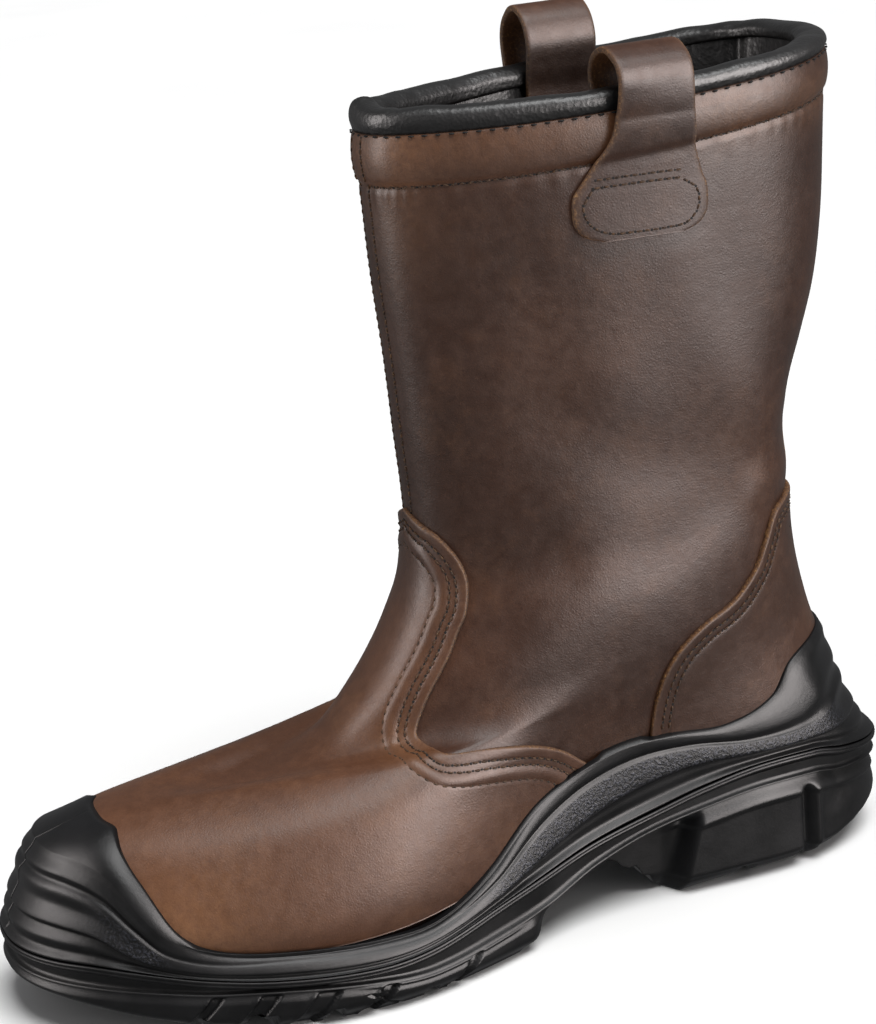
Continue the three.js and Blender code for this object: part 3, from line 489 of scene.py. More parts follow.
def makeLeather(name, c):
    """Cloudy tone from two noises, pores as cells, wax as a thin rough coat; the mark edge shows the raw cut."""
    material, tree, shader, where = startMaterial(name)
    cloud = add(tree, "ShaderNodeTexNoise", {"Vector": where, "Scale": size(60), "Detail": 4, "Roughness": .5})
    mottle = add(tree, "ShaderNodeTexNoise", {"Vector": where, "Scale": size(5), "Detail": 4, "Roughness": .6})
    speckle = add(tree, "ShaderNodeTexNoise", {"Vector": where, "Scale": size(.75), "Detail": 3, "Roughness": .6})
    fine = add(tree, "ShaderNodeMix", {0: .5, 2: mottle.outputs["Fac"], 3: speckle.outputs["Fac"]})
    tone = add(tree, "ShaderNodeMix", {0: .42, 2: cloud.outputs["Fac"], 3: fine.outputs[0]})
    base = ramp(tree, tone.outputs[0], [(.3, c["dark"]), (.5, c["middle"]), (.68, c["light"])])
    rubMark = add(tree, "ShaderNodeAttribute", attribute_name="rub")
    rubNoise = add(tree, "ShaderNodeTexNoise", {"Vector": where, "Scale": size(2.2), "Detail": 6, "Roughness": .7})
    dry = add(tree, "ShaderNodeTexNoise", {"Vector": where, "Scale": size(26), "Detail": 9, "Roughness": .72})
    dryShare = add(tree, "ShaderNodeMapRange", {"Value": dry.outputs["Fac"], 1: .5, 2: .74, 3: 0, 4: .42})
    worn = add(tree, "ShaderNodeMath", {0: rubMark.outputs["Fac"], 1: 1.1, 2: dryShare.outputs[0]},
               operation="MULTIPLY_ADD")
    rubShare = add(tree, "ShaderNodeMath", {0: worn.outputs[0], 1: rubNoise.outputs["Fac"]}, operation="MULTIPLY",
                   use_clamp=True)
    rubbed = add(tree, "ShaderNodeMix", {0: rubShare.outputs[0], 6: base, 7: linear(c["rub"])}, data_type="RGBA")
    edgeMark = add(tree, "ShaderNodeAttribute", attribute_name="edge")
    fibre = add(tree, "ShaderNodeTexNoise", {"Vector": where, "Scale": size(.9), "Detail": 5, "Roughness": .7})
    raw = ramp(tree, fibre.outputs["Fac"], [(.35, "#3c2616"), (.55, "#6d4929"), (.72, "#a47c4c")])
    edgeNoise = add(tree, "ShaderNodeMath", {0: fibre.outputs["Fac"], 1: 1.9}, operation="MULTIPLY")
    edgeShare = add(tree, "ShaderNodeMath", {0: edgeMark.outputs["Fac"], 1: edgeNoise.outputs[0]}, operation="MULTIPLY",
                    use_clamp=True)
    cut = add(tree, "ShaderNodeMix", {0: edgeShare.outputs[0], 6: rubbed.outputs[2], 7: raw}, data_type="RGBA")
    tree.links.new(cut.outputs[2], shader.inputs["Base Color"])
    gloss = add(tree, "ShaderNodeMapRange", {"Value": mottle.outputs["Fac"], 1: .3, 2: .7, 3: .38, 4: .5})
    dull = add(tree, "ShaderNodeMix", {0: edgeShare.outputs[0], 2: gloss.outputs[0], 3: .9})
    tree.links.new(dull.outputs[0], shader.inputs["Roughness"])
    shader.inputs["Specular IOR Level"].default_value = .3
    shader.inputs["Coat Weight"].default_value = .12
    shader.inputs["Coat Roughness"].default_value = .34
    pores = add(tree, "ShaderNodeTexVoronoi", {"Vector": where, "Scale": size(.95)}, feature="DISTANCE_TO_EDGE")
    wrinkle = add(tree, "ShaderNodeTexNoise", {"Vector": where, "Scale": size(3.4), "Detail": 6, "Roughness": .62})
    first = add(tree, "ShaderNodeBump", {"Height": wrinkle.outputs["Fac"], "Strength": .3, "Distance": .45 * mm})
    second = add(tree, "ShaderNodeBump", {"Height": pores.outputs[0], "Strength": .35, "Distance": .2 * mm,
                                          "Normal": first.outputs[0]})
    third = add(tree, "ShaderNodeBump", {"Height": fibre.outputs["Fac"], "Strength": edgeShare.outputs[0],
                                         "Distance": .5 * mm, "Normal": second.outputs[0]})
    tree.links.new(third.outputs[0], shader.inputs["Normal"])
    return material


# Moulded black polyurethane: satin skin with a cool sheen and fine pitting; the mark texture gives the etched band,
# whose lighter bluish specks are its grain, partly painted highlight on that grain
def makePolyurethane(name, base="#0b0b0c", worn="#323238"):
    material, tree, shader, where = startMaterial(name)
    cloud = add(tree, "ShaderNodeTexNoise", {"Vector": where, "Scale": size(22), "Detail": 5, "Roughness": .6})
    grit = add(tree, "ShaderNodeTexNoise", {"Vector": where, "Scale": size(.9), "Detail": 3, "Roughness": .6})
    texture = add(tree, "ShaderNodeAttribute", attribute_name="texture")
    tone = ramp(tree, cloud.outputs["Fac"], [(.35, base), (.7, "#131315")])
    # Etched band: lighter bluish specks on the grain, partly painted highlight
    grainAndGlintSpecks = ramp(tree, grit.outputs["Fac"], [(.46, base), (.66, "#3c3d46")])
    bandWithGlintSpecks = add(tree, "ShaderNodeMix", {0: texture.outputs["Fac"], 6: tone, 7: grainAndGlintSpecks}, data_type="RGBA")
    dust = add(tree, "ShaderNodeTexNoise", {"Vector": where, "Scale": size(1.6), "Detail": 7, "Roughness": .75})
    dustShare = add(tree, "ShaderNodeMapRange", {"Value": dust.outputs["Fac"], 1: .62, 2: .8, 3: 0, 4: .3})
    dusty = add(tree, "ShaderNodeMix", {0: dustShare.outputs[0], 6: bandWithGlintSpecks.outputs[2], 7: linear(worn)}, data_type="RGBA")
    tree.links.new(dusty.outputs[2], shader.inputs["Base Color"])
    gloss = add(tree, "ShaderNodeMapRange", {"Value": cloud.outputs["Fac"], 1: .3, 2: .7, 3: .32, 4: .46})
    tree.links.new(gloss.outputs[0], shader.inputs["Roughness"])
    shader.inputs["Specular IOR Level"].default_value = .3
    fine = add(tree, "ShaderNodeBump", {"Height": dust.outputs["Fac"], "Strength": .3, "Distance": .25 * mm})
    etched = add(tree, "ShaderNodeBump", {"Height": grit.outputs["Fac"], "Strength": texture.outputs["Fac"],
                                          "Distance": .5 * mm, "Normal": fine.outputs[0]})
    tree.links.new(etched.outputs[0], shader.inputs["Normal"])
    return material


# Thin garment leather over foam, embossed: soft black with small shiny grain
def makeLiningLeather(name, base="#080808", top="#100f10", rough=.42):
    material, tree, shader, where = startMaterial(name)
    cloud = add(tree, "ShaderNodeTexNoise", {"Vector": where, "Scale": size(16), "Detail": 4})
    tone = ramp(tree, cloud.outputs["Fac"], [(.35, base), (.7, top)])
    tree.links.new(tone, shader.inputs["Base Color"])
    shader.inputs["Roughness"].default_value = rough
    shader.inputs["Coat Weight"].default_value = .12
    shader.inputs["Coat Roughness"].default_value = .3
    grain = add(tree, "ShaderNodeTexVoronoi", {"Vector": where, "Scale": size(1.3)}, feature="F1")
    wrinkle = add(tree, "ShaderNodeTexNoise", {"Vector": where, "Scale": size(5), "Detail": 5})
    first = add(tree, "ShaderNodeBump", {"Height": wrinkle.outputs["Fac"], "Strength": .5, "Distance": .8 * mm})
    second = add(tree, "ShaderNodeBump", {"Height": grain.outputs["Distance"], "Strength": .4, "Distance": .25 * mm,
                                          "Normal": first.outputs[0]})
    tree.links.new(second.outputs[0], shader.inputs["Normal"])
    return material


# Waxed polyester sewing thread, twisted from strands
def makeThread(name, dark, light):
    material, tree, shader, where = startMaterial(name)
    twist = add(tree, "ShaderNodeTexNoise", {"Vector": where, "Scale": size(.8), "Detail": 3})
    tone = ramp(tree, twist.outputs["Fac"], [(.35, dark), (.65, light)])
    tree.links.new(tone, shader.inputs["Base Color"])
    shader.inputs["Roughness"].default_value = .8
    shader.inputs["Specular IOR Level"].default_value = .25
    bump = add(tree, "ShaderNodeBump", {"Height": twist.outputs["Fac"], "Strength": .5, "Distance": .2 * mm})
    tree.links.new(bump.outputs[0], shader.inputs["Normal"])
    return material


# Needled felt: short dark fibres, fully matt
def makeFelt(name, dark="#1a1a1c", light="#34343a"):
    material, tree, shader, where = startMaterial(name)
    fibre = add(tree, "ShaderNodeTexNoise", {"Vector": where, "Scale": size(.7), "Detail": 6, "Roughness": .8})
    tone = ramp(tree, fibre.outputs["Fac"], [(.35, dark), (.7, light)])
    tree.links.new(tone, shader.inputs["Base Color"])
    shader.inputs["Roughness"].default_value = .95
    shader.inputs["Sheen Weight"].default_value = .3
    bump = add(tree, "ShaderNodeBump", {"Height": fibre.outputs["Fac"], "Strength": .8, "Distance": .4 * mm})
    tree.links.new(bump.outputs[0], shader.inputs["Normal"])
    return material


shaftLeather = makeLeather("waxedShaftLeather", leather["shaft"])
vampLeather = makeLeather("waxedVampLeather", leather["vamp"])
soleRubber = makePolyurethane("mouldedPolyurethane")
liningLeather = makeLiningLeather("foamBackedLiningLeather")
bindingLeather = makeLiningLeather("bindingLeather", "#0a0a0a", "#131213", .42)
brownThread = makeThread("brownThread", "#24160d", "#5f432b")
# Needle holes: near-black discs that paint the shade inside each hole
holeShade = makeThread("paintedNeedleHoleShade", "#0d0806", "#1a100b")
blackThread = makeThread("blackThread", "#050505", "#121214")
feltGrey = makeFelt("needledFelt")
print("materials made")


# Upper: one shell from the feather line to the rim, with a padded band under the collar
upperForm = dict(columns=288, bandFront=16.5, bandBack=13.5, puff=1.4, groove=.6, gathers=.12)


def bandDepth(t):
    """Height of the padded band under the rim; t is 0 at the back and 1 at the front."""
    return mix(upperForm["bandBack"], upperForm["bandFront"], t)


def bandRelief(phi, points):
    """Puffed band under the rim, pulled in along its stitch line, with small gathers below."""
    t = (1 - np.cos(phi)) / 2
    down = skin(phi, topRow)[..., 2] - points[..., 2]
    share = np.clip(down / bandDepth(t), 0, 1)
    puff = upperForm["puff"] * np.sin(np.pi * share) ** .62
    line = upperForm["groove"] * hump(down, bandDepth(t), 1.3)
    waves = np.sin(phi * 61 + 2 * np.sin(phi * 7)) * hump(down, bandDepth(t) + 2.5, 3.2)
    return puff - line + upperForm["gathers"] * waves


def upperRows():
    """Section numbers spaced by real height, close together under the rim."""
    fine = np.linspace(0, topRow, 900)
    heights = skin(np.full(fine.shape, 1.4), fine)[:, 2]
    heights = np.maximum.accumulate(heights + np.arange(900) * 1e-6)
    low, high = heights[0], heights[-1]
    wanted = np.concatenate([np.linspace(low, high - 24, 110)[:-1], np.linspace(high - 24, high, 34)])
    return np.interp(wanted, heights, fine)


def makeUpper(c):
    """Outer grid, then the inner one inside its wall, joined at the rim and at the feather line."""
    phi = np.linspace(0, 2 * np.pi, c["columns"], endpoint=False)[None, :]
    v = upperRows()[:, None]
    outer = skin(phi, v)
    normal = skinNormal(phi, v)
    out = creaseDepth(outer) + bandRelief(np.broadcast_to(phi, outer.shape[:2]), outer)
    seam = np.arctan2(np.sin(phi - np.pi), np.cos(phi - np.pi))
    ridge = .55 * hump(np.abs(seam) * 26, 0, 2.1) * smoothStep(outer[..., 2], 120, 150)
    outer = outer + normal * (out + ridge)[..., None]
    inner = skin(phi, v[::3][::-1])
    inner = inner - skinNormal(phi, v[::3][::-1]) * boot["wall"]
    points = np.concatenate([outer, inner])
    faces = gridFaces(points.shape[0], c["columns"], closeRows=True, closeColumns=True)
    rimGap = boot["rimHeight"] - outer[..., 2]
    rub = .55 * hump(rimGap, 4, 9) + .5 * hump(np.abs(seam) * 26, 9, 7) * smoothStep(outer[..., 2], 205, 250)
    rub = np.concatenate([np.broadcast_to(rub, outer.shape[:2]), np.zeros(inner.shape[:2])])
    return makePiece("quarters", points, faces, shaftLeather, "upper", "shaft_leather", rub=rub,
                     edge=np.zeros(rub.shape))


quarters = makeUpper(upperForm)
print("upper made")


# Overlays: leather panels that lie on the upper
vampForm = dict(
    edge=[(.374, .231), (.375, .3), (.38, .365), (.395, .396), (.412, .424), (.434, .449), (.458, .467),
          (.485, .478), (.51, .483), (.538, .4825), (.553, .484), (.5605, .492), (.5625, .507), (.558, .53),
          (.551, .557), (.541, .59), (.527, .629), (.514, .668), (.503, .709), (.492, .749), (.4855, .805),
          (.487, .844), (.494, .88), (.507, .919), (.52, .95)],
    top=.957, centre=np.pi, samples=250, interior=90, rows=(3.8, 6.2, 11.2), ridgeAt=8.8, ridge=.4)
counterForm = dict(
    edge=[(.308, .245), (.308, .32), (.304, .45), (.292, .54), (.272, .6), (.24, .645), (.2, .68), (.17, .735),
          (.153, .795), (.137, .85), (.11, .872)],
    top=.866, centre=0.0, samples=170, interior=60, rows=(3.8, 6.4), ridgeAt=9, ridge=0)
bandInset = np.array([0, 0, .1, .3, .6, 1.1, 1.8, 2.6, 3.2, 3.55, 3.8, 4.05, 4.5, 5.1, 5.8, 6.15, 6.4, 6.65, 7.1,
                      7.9, 8.9, 9.9, 10.6, 10.95, 11.2, 11.45, 11.9, 12.6, 13.6])
bandCut = np.array([0, .62, .82, .92, .97, 1] + [1] * 23)
bandRaw = np.array([1, 1, .9, .5, .15, 0] + [0] * 23)


def panelEdge(c, side):
    """The panel's edge on one side as angles and sections, evenly spaced on the leather, ending at its top."""
    rows = np.array(c["edge"]) * [boot["soleLength"], boot["ankleHeight"]]
    path = alongPath(rows, 320)
    phi, v = skinPlace(path[:, 0], path[:, 1], side)
    if c["centre"] > 1:
        phi = np.mod(phi, 2 * np.pi)
    keep = np.abs(phi - c["centre"]) > .12
    phi, v = phi[keep], v[keep]
    topAngle = np.array([c["centre"]])
    phi, v = np.append(phi, topAngle), np.append(v, rowAtHeight(topAngle, c["top"] * boot["ankleHeight"]))
    points = skin(phi, v)
    length = np.concatenate([[0], np.cumsum(np.linalg.norm(np.diff(points, axis=0), axis=1))])
    last = length[-1]
    key = np.concatenate([length[length < last - 14], [last]])
    pick = np.concatenate([np.flatnonzero(length < last - 14), [len(length) - 1]])
    even = np.linspace(0, last, c["samples"] + 1)
    turn, rise = through(key, phi[pick], even), through(key, v[pick], even)
    near = even < last - 15
    turn[near], rise[near] = np.interp(even[near], length, phi), np.interp(even[near], length, v)
    return turn, rise


def panelCurve(c):
    """The whole edge from the outer tail over the top to the inner tail, with directions into the panel."""
    outerPhi, outerV = panelEdge(c, 1)
    innerPhi, innerV = panelEdge(c, -1)
    phi = np.concatenate([outerPhi, innerPhi[-2::-1]])
    v = np.concatenate([outerV, innerV[-2::-1]])
    points = skin(phi, v)
    along = np.gradient(points, axis=0)
    soft = np.hanning(13)[1:-1] / np.hanning(13).sum()
    padded = np.pad(along, ((5, 5), (0, 0)), mode="edge")
    along = np.stack([np.convolve(padded[:, k], soft, "valid") for k in range(3)], 1)
    inward = unit(np.cross(skinNormal(phi, v), along))
    middle = len(phi) // 2
    wanted = skin(phi[middle], v[middle] - .3) - points[middle]
    if (inward[middle] * wanted).sum() < 0:
        inward = -inward
    return phi, v, inward


def panelOut(c, inset):
    """Height of the panel over the upper at a distance from its edge: cut edge, stitch troughs, piping ridge."""
    troughs = sum(hump(inset, row, .5) for row in c["rows"])
    channel = -.3 * hump(inset, (c["rows"][0] + c["rows"][1]) / 2, 2.2)
    return -.16 * troughs + channel + c["ridge"] * hump(inset, c["ridgeAt"], 1.8)


def evenRows(phi, low, high, count):
    """Sections between two, spaced evenly by length along one meridian."""
    fine = np.linspace(low, high, 400)
    points = skin(np.full(fine.shape, phi), fine)
    length = np.concatenate([[0], np.cumsum(np.linalg.norm(np.diff(points, axis=0), axis=1))])
    return np.interp(np.linspace(0, length[-1], count), length, fine)


def makePanel(name, c, material, node, slot):
    """Rows from the outer edge across the panel to the inner edge, and back below as the flesh side."""
    phi, v, inward = panelCurve(c)
    n = c["samples"]
    bands = [movedOnSkin(phi, v, inward * d) for d in bandInset]
    bandPhi, bandV = (np.stack([b[k] for b in bands], 1) for k in (0, 1))
    w = np.linspace(0, 1, c["interior"] + 2)[None, 1:-1]
    outer, inner = slice(0, n + 1), slice(2 * n, n - 1, -1)
    fillPhi = mix(bandPhi[outer, -1:], bandPhi[inner, -1:], w)
    middleV = evenRows(c["centre"], bandV[0, -1], bandV[n, -1], n + 1)
    ease = np.sin(np.pi * w) ** 2
    fillV = mix(mix(bandV[outer, -1:], bandV[inner, -1:], w), middleV[:, None], ease)
    rowPhi = np.concatenate([bandPhi[outer], fillPhi, bandPhi[inner][:, ::-1]], 1)
    rowV = np.concatenate([bandV[outer], fillV, bandV[inner][:, ::-1]], 1)
    zero = np.zeros(fillPhi.shape)
    cut = np.broadcast_to(bandCut, bandPhi[outer].shape)
    relief = np.broadcast_to(panelOut(c, bandInset), cut.shape)
    raw = np.broadcast_to(bandRaw, cut.shape)
    cutRow = np.concatenate([cut, zero + 1, cut[:, ::-1]], 1)
    reliefRow = np.concatenate([relief, zero, relief[:, ::-1]], 1)
    rawRow = np.concatenate([raw, zero, raw[:, ::-1]], 1)
    top = onSkin(rowPhi, rowV, overlayOut * cutRow + reliefRow)
    under = onSkin(rowPhi, rowV, np.zeros(rowPhi.shape))[:, ::-1]
    points = np.concatenate([top, under], 1)
    count = points.shape[1]
    faces = np.concatenate([gridFaces(n + 1, count, closeColumns=True), capFaces(0, count)])
    edge = np.concatenate([rawRow, np.zeros(rawRow.shape)], 1)
    z, s = points[..., 2], boot["heelCentre"] - points[..., 1]
    rub = .8 * hump(s, 262, 26) * hump(z, 34, 20) + .35 * hump(edge, 1, .8) + .5 * hump(s, 178, 9) * hump(z, 77, 6)
    piece = makePiece(name, points, faces, material, node, slot, edge=edge, rub=np.clip(rub, 0, 1))
    return piece, (phi, v, inward)


vamp, vampCurve = makePanel("vamp_panel", vampForm, vampLeather, "vamp", "vamp_leather")
counter, counterCurve = makePanel("counter_panel", counterForm, shaftLeather, "heel_counter", "shaft_leather")
print("panels made")


# Backstay: the strip down the back seam
stayForm = dict(rows=120, columns=40, top=-2.0)


def makeBackstay(c):
    """Columns spaced by real distance from the back's middle line, rows by height; cut edges drop to the upper."""
    low = counterForm["top"] * boot["ankleHeight"] - 2
    v0 = rowAtHeight(np.array([0.0]), low)[0]
    v1 = rowAtHeight(np.array([0.0]), boot["rimHeight"] + boot["collarRise"] + c["top"])[0]
    v = np.linspace(v0, v1, c["rows"])[:, None]
    reach = np.linspace(0, 1.1, 80)[None, :]
    arc = skin(reach, v)
    length = np.concatenate([np.zeros((c["rows"], 1)), np.cumsum(np.linalg.norm(np.diff(arc, axis=1), axis=2), 1)], 1)
    half = boot["backstayWidth"] / 2
    inset = np.concatenate([bandInset[:19], np.linspace(8.2, half, 6)])
    wide = half - inset
    place = np.stack([np.interp(wide, length[k], reach[0]) for k in range(c["rows"])])
    phi = np.concatenate([place, -place[:, -2::-1]], 1)
    cutHalf = np.interp(inset, bandInset, bandCut)
    cutHalf[:2] = 0, .62
    rawHalf = np.interp(inset, bandInset, bandRaw)
    relief = -.35 * (hump(inset, 3.4, .42) + hump(inset, 6.2, .42))
    both = lambda a: np.concatenate([a, a[-2::-1]])[None, :]
    ends = 1 - np.abs(np.linspace(-1, 1, c["rows"])[:, None]) ** 60
    top = onSkin(phi, v, (overlayOut * both(cutHalf) + both(relief)) * ends)
    bulge = 1.2 * hump(top[..., 2], boot["rimHeight"] + 1, 7)
    top = top + skinNormal(phi, v) * bulge[..., None]
    under = onSkin(phi, v, np.zeros(phi.shape))[:, ::-1]
    points = np.concatenate([top, under], 1)
    count = points.shape[1]
    faces = np.concatenate([gridFaces(c["rows"], count, closeColumns=True), capFaces(0, count),
                            capFaces((c["rows"] - 1) * count, count)[:, ::-1]])
    edge = np.concatenate([np.broadcast_to(both(rawHalf), phi.shape), np.zeros(phi.shape)], 1)
    return makePiece("backstay_strip", points, faces, shaftLeather, "backstay", "shaft_leather", edge=edge,
                     rub=.4 * edge)


backstay = makeBackstay(stayForm)
print("backstay made")


# Sole: plan, side lines and the rings of midsole and outsole
def planPoint(phi, inset):
    """Point of the sole's plan moved inwards along its own normal."""
    def at(a):
        turn = np.arctan2(np.sin(a), np.cos(a))
        angle = np.abs(turn)
        s = mix(-boot["heelFlare"], boot["soleLength"] + boot["toeFlare"], (1 - np.cos(angle)) / 2)
        widths = solePlan["widths"][:, None] * boot["ballWidth"] + np.zeros((1, angle.size))
        heelRound = np.full(angle.size, solePlan["heelRound"])
        toeRound = np.full(angle.size, solePlan["toeRound"])
        half = outlineHalf(widths, heelRound, toeRound, angle.ravel()).reshape(angle.shape)
        return placed(bowAt(s) + np.sign(turn) * half, s, 0 * s)
    step = .03
    along = at(phi + step) - at(phi - step)
    inward = unit(np.stack([along[..., 1], -along[..., 0], 0 * along[..., 0]], -1))
    return at(phi) + inward * np.asarray(inset)[..., None]


def toeShare(t):
    return smoothStep(t, .86, .97)


def heelShare(t):
    return 1 - smoothStep(t, .02, .13)


reliefRows = table(
    "place side end",
    (0, .5, .65), (.1, .1, 0), (.3, .85, 1), (.6, .8, 0), (.92, .65, 1), (1.06, -.1, 0),
    (1.5, -.15, 1), (1.9, .1, 0), (2.1, .4, 1), (2.4, .1, 0), (2.75, .05, .5), (3, .1, 0),
)
midsoleForm = dict(columns=640, rows=90, partingDepth=.7, partingWidth=.35)


def lipPoint(phi):
    """Top edge of the midsole, just outside the overlays."""
    t = (1 - np.cos(phi)) / 2
    v = rowAtHeight(phi, sideLine("lip", t))
    out = overlayOut + boot["clear"] + boot["lipWall"]
    return onSkin(phi, v, np.full(phi.shape, out)), v


def makeMidsole(c):
    """Side rings from the edge up to the lip, in over the leather and down behind it to the seat."""
    b = boot
    phi = np.linspace(0, 2 * np.pi, c["columns"], endpoint=False)
    nearLine = np.array([.0004, .001, .0018, .003, .0045, .0065])
    phi = np.sort(np.concatenate([phi, np.pi - nearLine, np.pi + nearLine]))
    t = (1 - np.cos(phi)) / 2
    lip, lipV = lipPoint(phi)
    middle = planPoint(np.array([np.pi]), np.array([0.0]))[0]
    aside = planPoint(phi, 0 * phi)[:, 0] - middle[0]
    parting = c["partingDepth"] * hump(aside, 0, c["partingWidth"]) * (t > .9)
    lines = np.stack([sideLine(name, t) for name in ("edge", "bandLow", "bandTop", "lip")])
    rings, marks = [], []
    for place in np.linspace(0, 3, c["rows"]):
        k = min(int(place), 2)
        z = mix(lines[k], lines[k + 1], place - k)
        edgeZ = lines[0] + b["clear"]
        z = np.maximum(z, edgeZ)
        rise = np.clip((z - edgeZ) / (lip[:, 2] - edgeZ), 0, 1)
        convex, concave = 1 - np.sqrt(1 - rise ** 2), rise ** .68
        inward = mix(convex, concave, np.maximum(heelShare(t), .15 + .2 * toeShare(t)))
        ends = np.maximum(toeShare(t), heelShare(t))
        room = np.minimum((lip[:, 2] - edgeZ) / (b["sideHeight"] * .3), 1)
        side = through(reliefRows["place"], reliefRows["side"], place) * b["grooveDepth"]
        end = through(reliefRows["place"], reliefRows["end"], place) * b["ribDepth"]
        relief = mix(side, end, ends) * room
        foot = planPoint(phi, relief + parting * smoothStep(place, .05, .3))
        head = lip + foot - planPoint(phi, 0 * phi)
        ring = mix(foot, head, inward[:, None])
        ring[:, 2] = z
        rings.append(ring)
        band = smoothStep(place, 1.03, 1.1) * (1 - smoothStep(place, 1.85, 1.95))
        marks.append(band * (1 - ends) * smoothStep(lip[:, 2] - edgeZ, 7, 13))
    s = b["heelCentre"] - lip[:, 1]
    bare = smoothStep(s, 94, 98) * (1 - smoothStep(s, 110, 115))
    leatherOut = overlayOut * (1 - bare)
    upAt = [rowAtHeight(phi, lip[:, 2] + k) for k in (.9, 1.7)]
    half = onSkin(phi, upAt[0], leatherOut + 1.0)
    over = onSkin(phi, upAt[1], leatherOut - .15)
    behind = onSkin(phi, np.maximum(lipV - .3, 0), leatherOut - .7)
    low = onSkin(phi, np.zeros(phi.shape), np.full(phi.shape, .3))
    seat = planPoint(phi, 0 * phi + b["seatInset"] + 2 * b["clear"])
    seat[:, 2] = footbed(b["heelCentre"] - seat[:, 1]) - b["midsoleFloor"] + b["clear"]
    low[:, 2] = np.maximum(low[:, 2], seat[:, 2] + 2)
    rings += [half, over, behind, low, seat]
    marks += [0 * phi] * 5
    points = np.stack(rings)
    faces = gridFaces(len(rings), len(phi), closeRows=True, closeColumns=True)
    return makePiece("midsole_side", points, faces, soleRubber, "midsole", "sole_polyurethane",
                     texture=np.stack(marks))


midsole = makeMidsole(midsoleForm)
print("midsole made")


treadGrooves = table(
    "at wide deep vee",
    (.129, .13, .15, 0), (.207, .17, .15, 0), (.584, .1, .09, .3), (.69, .13, .14, .35),
    (.766, .21, .18, .35), (.828, .17, .16, .3), (.88, .1, .1, .2),
)
archCut = table(
    "at up",
    (.288, 0), (.295, .06), (.32, .26), (.352, .4), (.38, .46), (.41, .42), (.441, .34), (.458, .25),
    (.471, .11), (.49, 0),
)
outsoleForm = dict(columns=1100, across=54, sideRows=40, panelDrop=6.0, lowGroove=5.4, grooveAt=35.5, scallop=1.1,
                   slant=.9)


def groundLift(x, s):
    """How far the tread lies above the floor: toe spring, heel bevel, the arch and the grooves between lugs."""
    b = boot
    t = np.clip((s + b["heelFlare"]) / (b["soleLength"] + b["toeFlare"] + b["heelFlare"]), 0, 1)
    ground = np.maximum(sideLine("ground", t), 0)
    share = s / b["soleLength"]
    inArch = (share > archCut["at"][0]) & (share < archCut["at"][-1])
    arch = np.where(inArch, b["heelHeight"] * through(archCut["at"], archCut["up"], share), 0)
    steps = .9 * np.sin(arch * 1.35) * (share < .37)
    total = np.maximum(ground, arch + steps * np.clip(arch / 3, 0, 1))
    for at, wide, deep, vee in zip(*(treadGrooves[k] for k in ("at", "wide", "deep", "vee"))):
        front = at * b["soleLength"] + vee * b["ballWidth"] / 2 * (1 - np.abs(x) / b["ballWidth"])
        middle = front - wide * b["heelHeight"] / 2
        inside = 1 - smoothStep(np.abs(s - middle), wide * b["heelHeight"] / 2 - .7, wide * b["heelHeight"] / 2 + .7)
        floorOf = max(float(np.maximum(sideLine("ground", np.array([at])), 0)[0]), 0) + deep * b["heelHeight"]
        total = np.maximum(total, floorOf * inside)
    return total


def sideRelief(s, z, t, shelf, ground, c):
    """How far the outsole's side lies in from its plan: heel panel, breast, cuts, lugs and leaf line."""
    b = boot
    down = shelf - z
    up = z - ground
    heel = 1 - smoothStep(s, 84, 90)
    fore = smoothStep(s, 138, 146)
    arch = (1 - heel) * (1 - fore)
    panel = mix(2.9, .3, smoothStep(down, .8, c["panelDrop"])) + .9 * smoothStep(down, c["panelDrop"] + .3, c["panelDrop"] + 1.4)
    panel = panel + .7 * hump(up, c["lowGroove"], .55) + .5 * (1 - smoothStep(up, c["lowGroove"] - .5, c["lowGroove"]))
    edgeOfPanel = mix(84.0, 76.0, np.clip(z / 28, 0, 1))
    breast = 7.5 * smoothStep(s, edgeOfPanel, edgeOfPanel + 6) * (1 - smoothStep(s, 122, 143)) * smoothStep(down, 0, 5)
    cut = 3.4 * hump(s, c["grooveAt"], 1.9) * smoothStep(down, 3.5, 6.5)
    beside = -.9 * hump(s, c["grooveAt"] - 4.2, 1.6) * smoothStep(down, 4.5, 7.5)
    lug = 1.5 * (1 - smoothStep(s, 20, 31)) * smoothStep(z, 14, 24)
    heelSide = panel + cut + beside + lug
    bulge = mix(.9, -.2, smoothStep(down, .2, 3.2)) + 3.4 * (1 - smoothStep(up, 0, 6.5)) ** 1.6
    leaf = -.55 * hump(down, .9, .5) * smoothStep(s, 146, 156) * (1 - smoothStep(s, 200, 214))
    slits = 0
    for at, wide, deep, vee in zip(*(treadGrooves[k] for k in ("at", "wide", "deep", "vee"))):
        if vee == 0:
            continue
        width = wide * b["heelHeight"]
        mouth = at * b["soleLength"] - width / 2 - c["slant"] * z
        inside = 1 - smoothStep(np.abs(s - mouth), width * .4, width * .4 + .9)
        slits = slits + (1.9 * inside - .5 * hump(s, mouth + width * .62, .7)) * smoothStep(down, .3, 1.8)
    thinCut = .9 * hump(s, 200 + c["slant"] * 1.6 * (z - 2.5), .6) * (z < 8)
    foreSide = bulge + leaf + slits + thinCut
    archSide = 2.2 + 0 * s
    return heelSide * heel + foreSide * fore + archSide * arch + breast


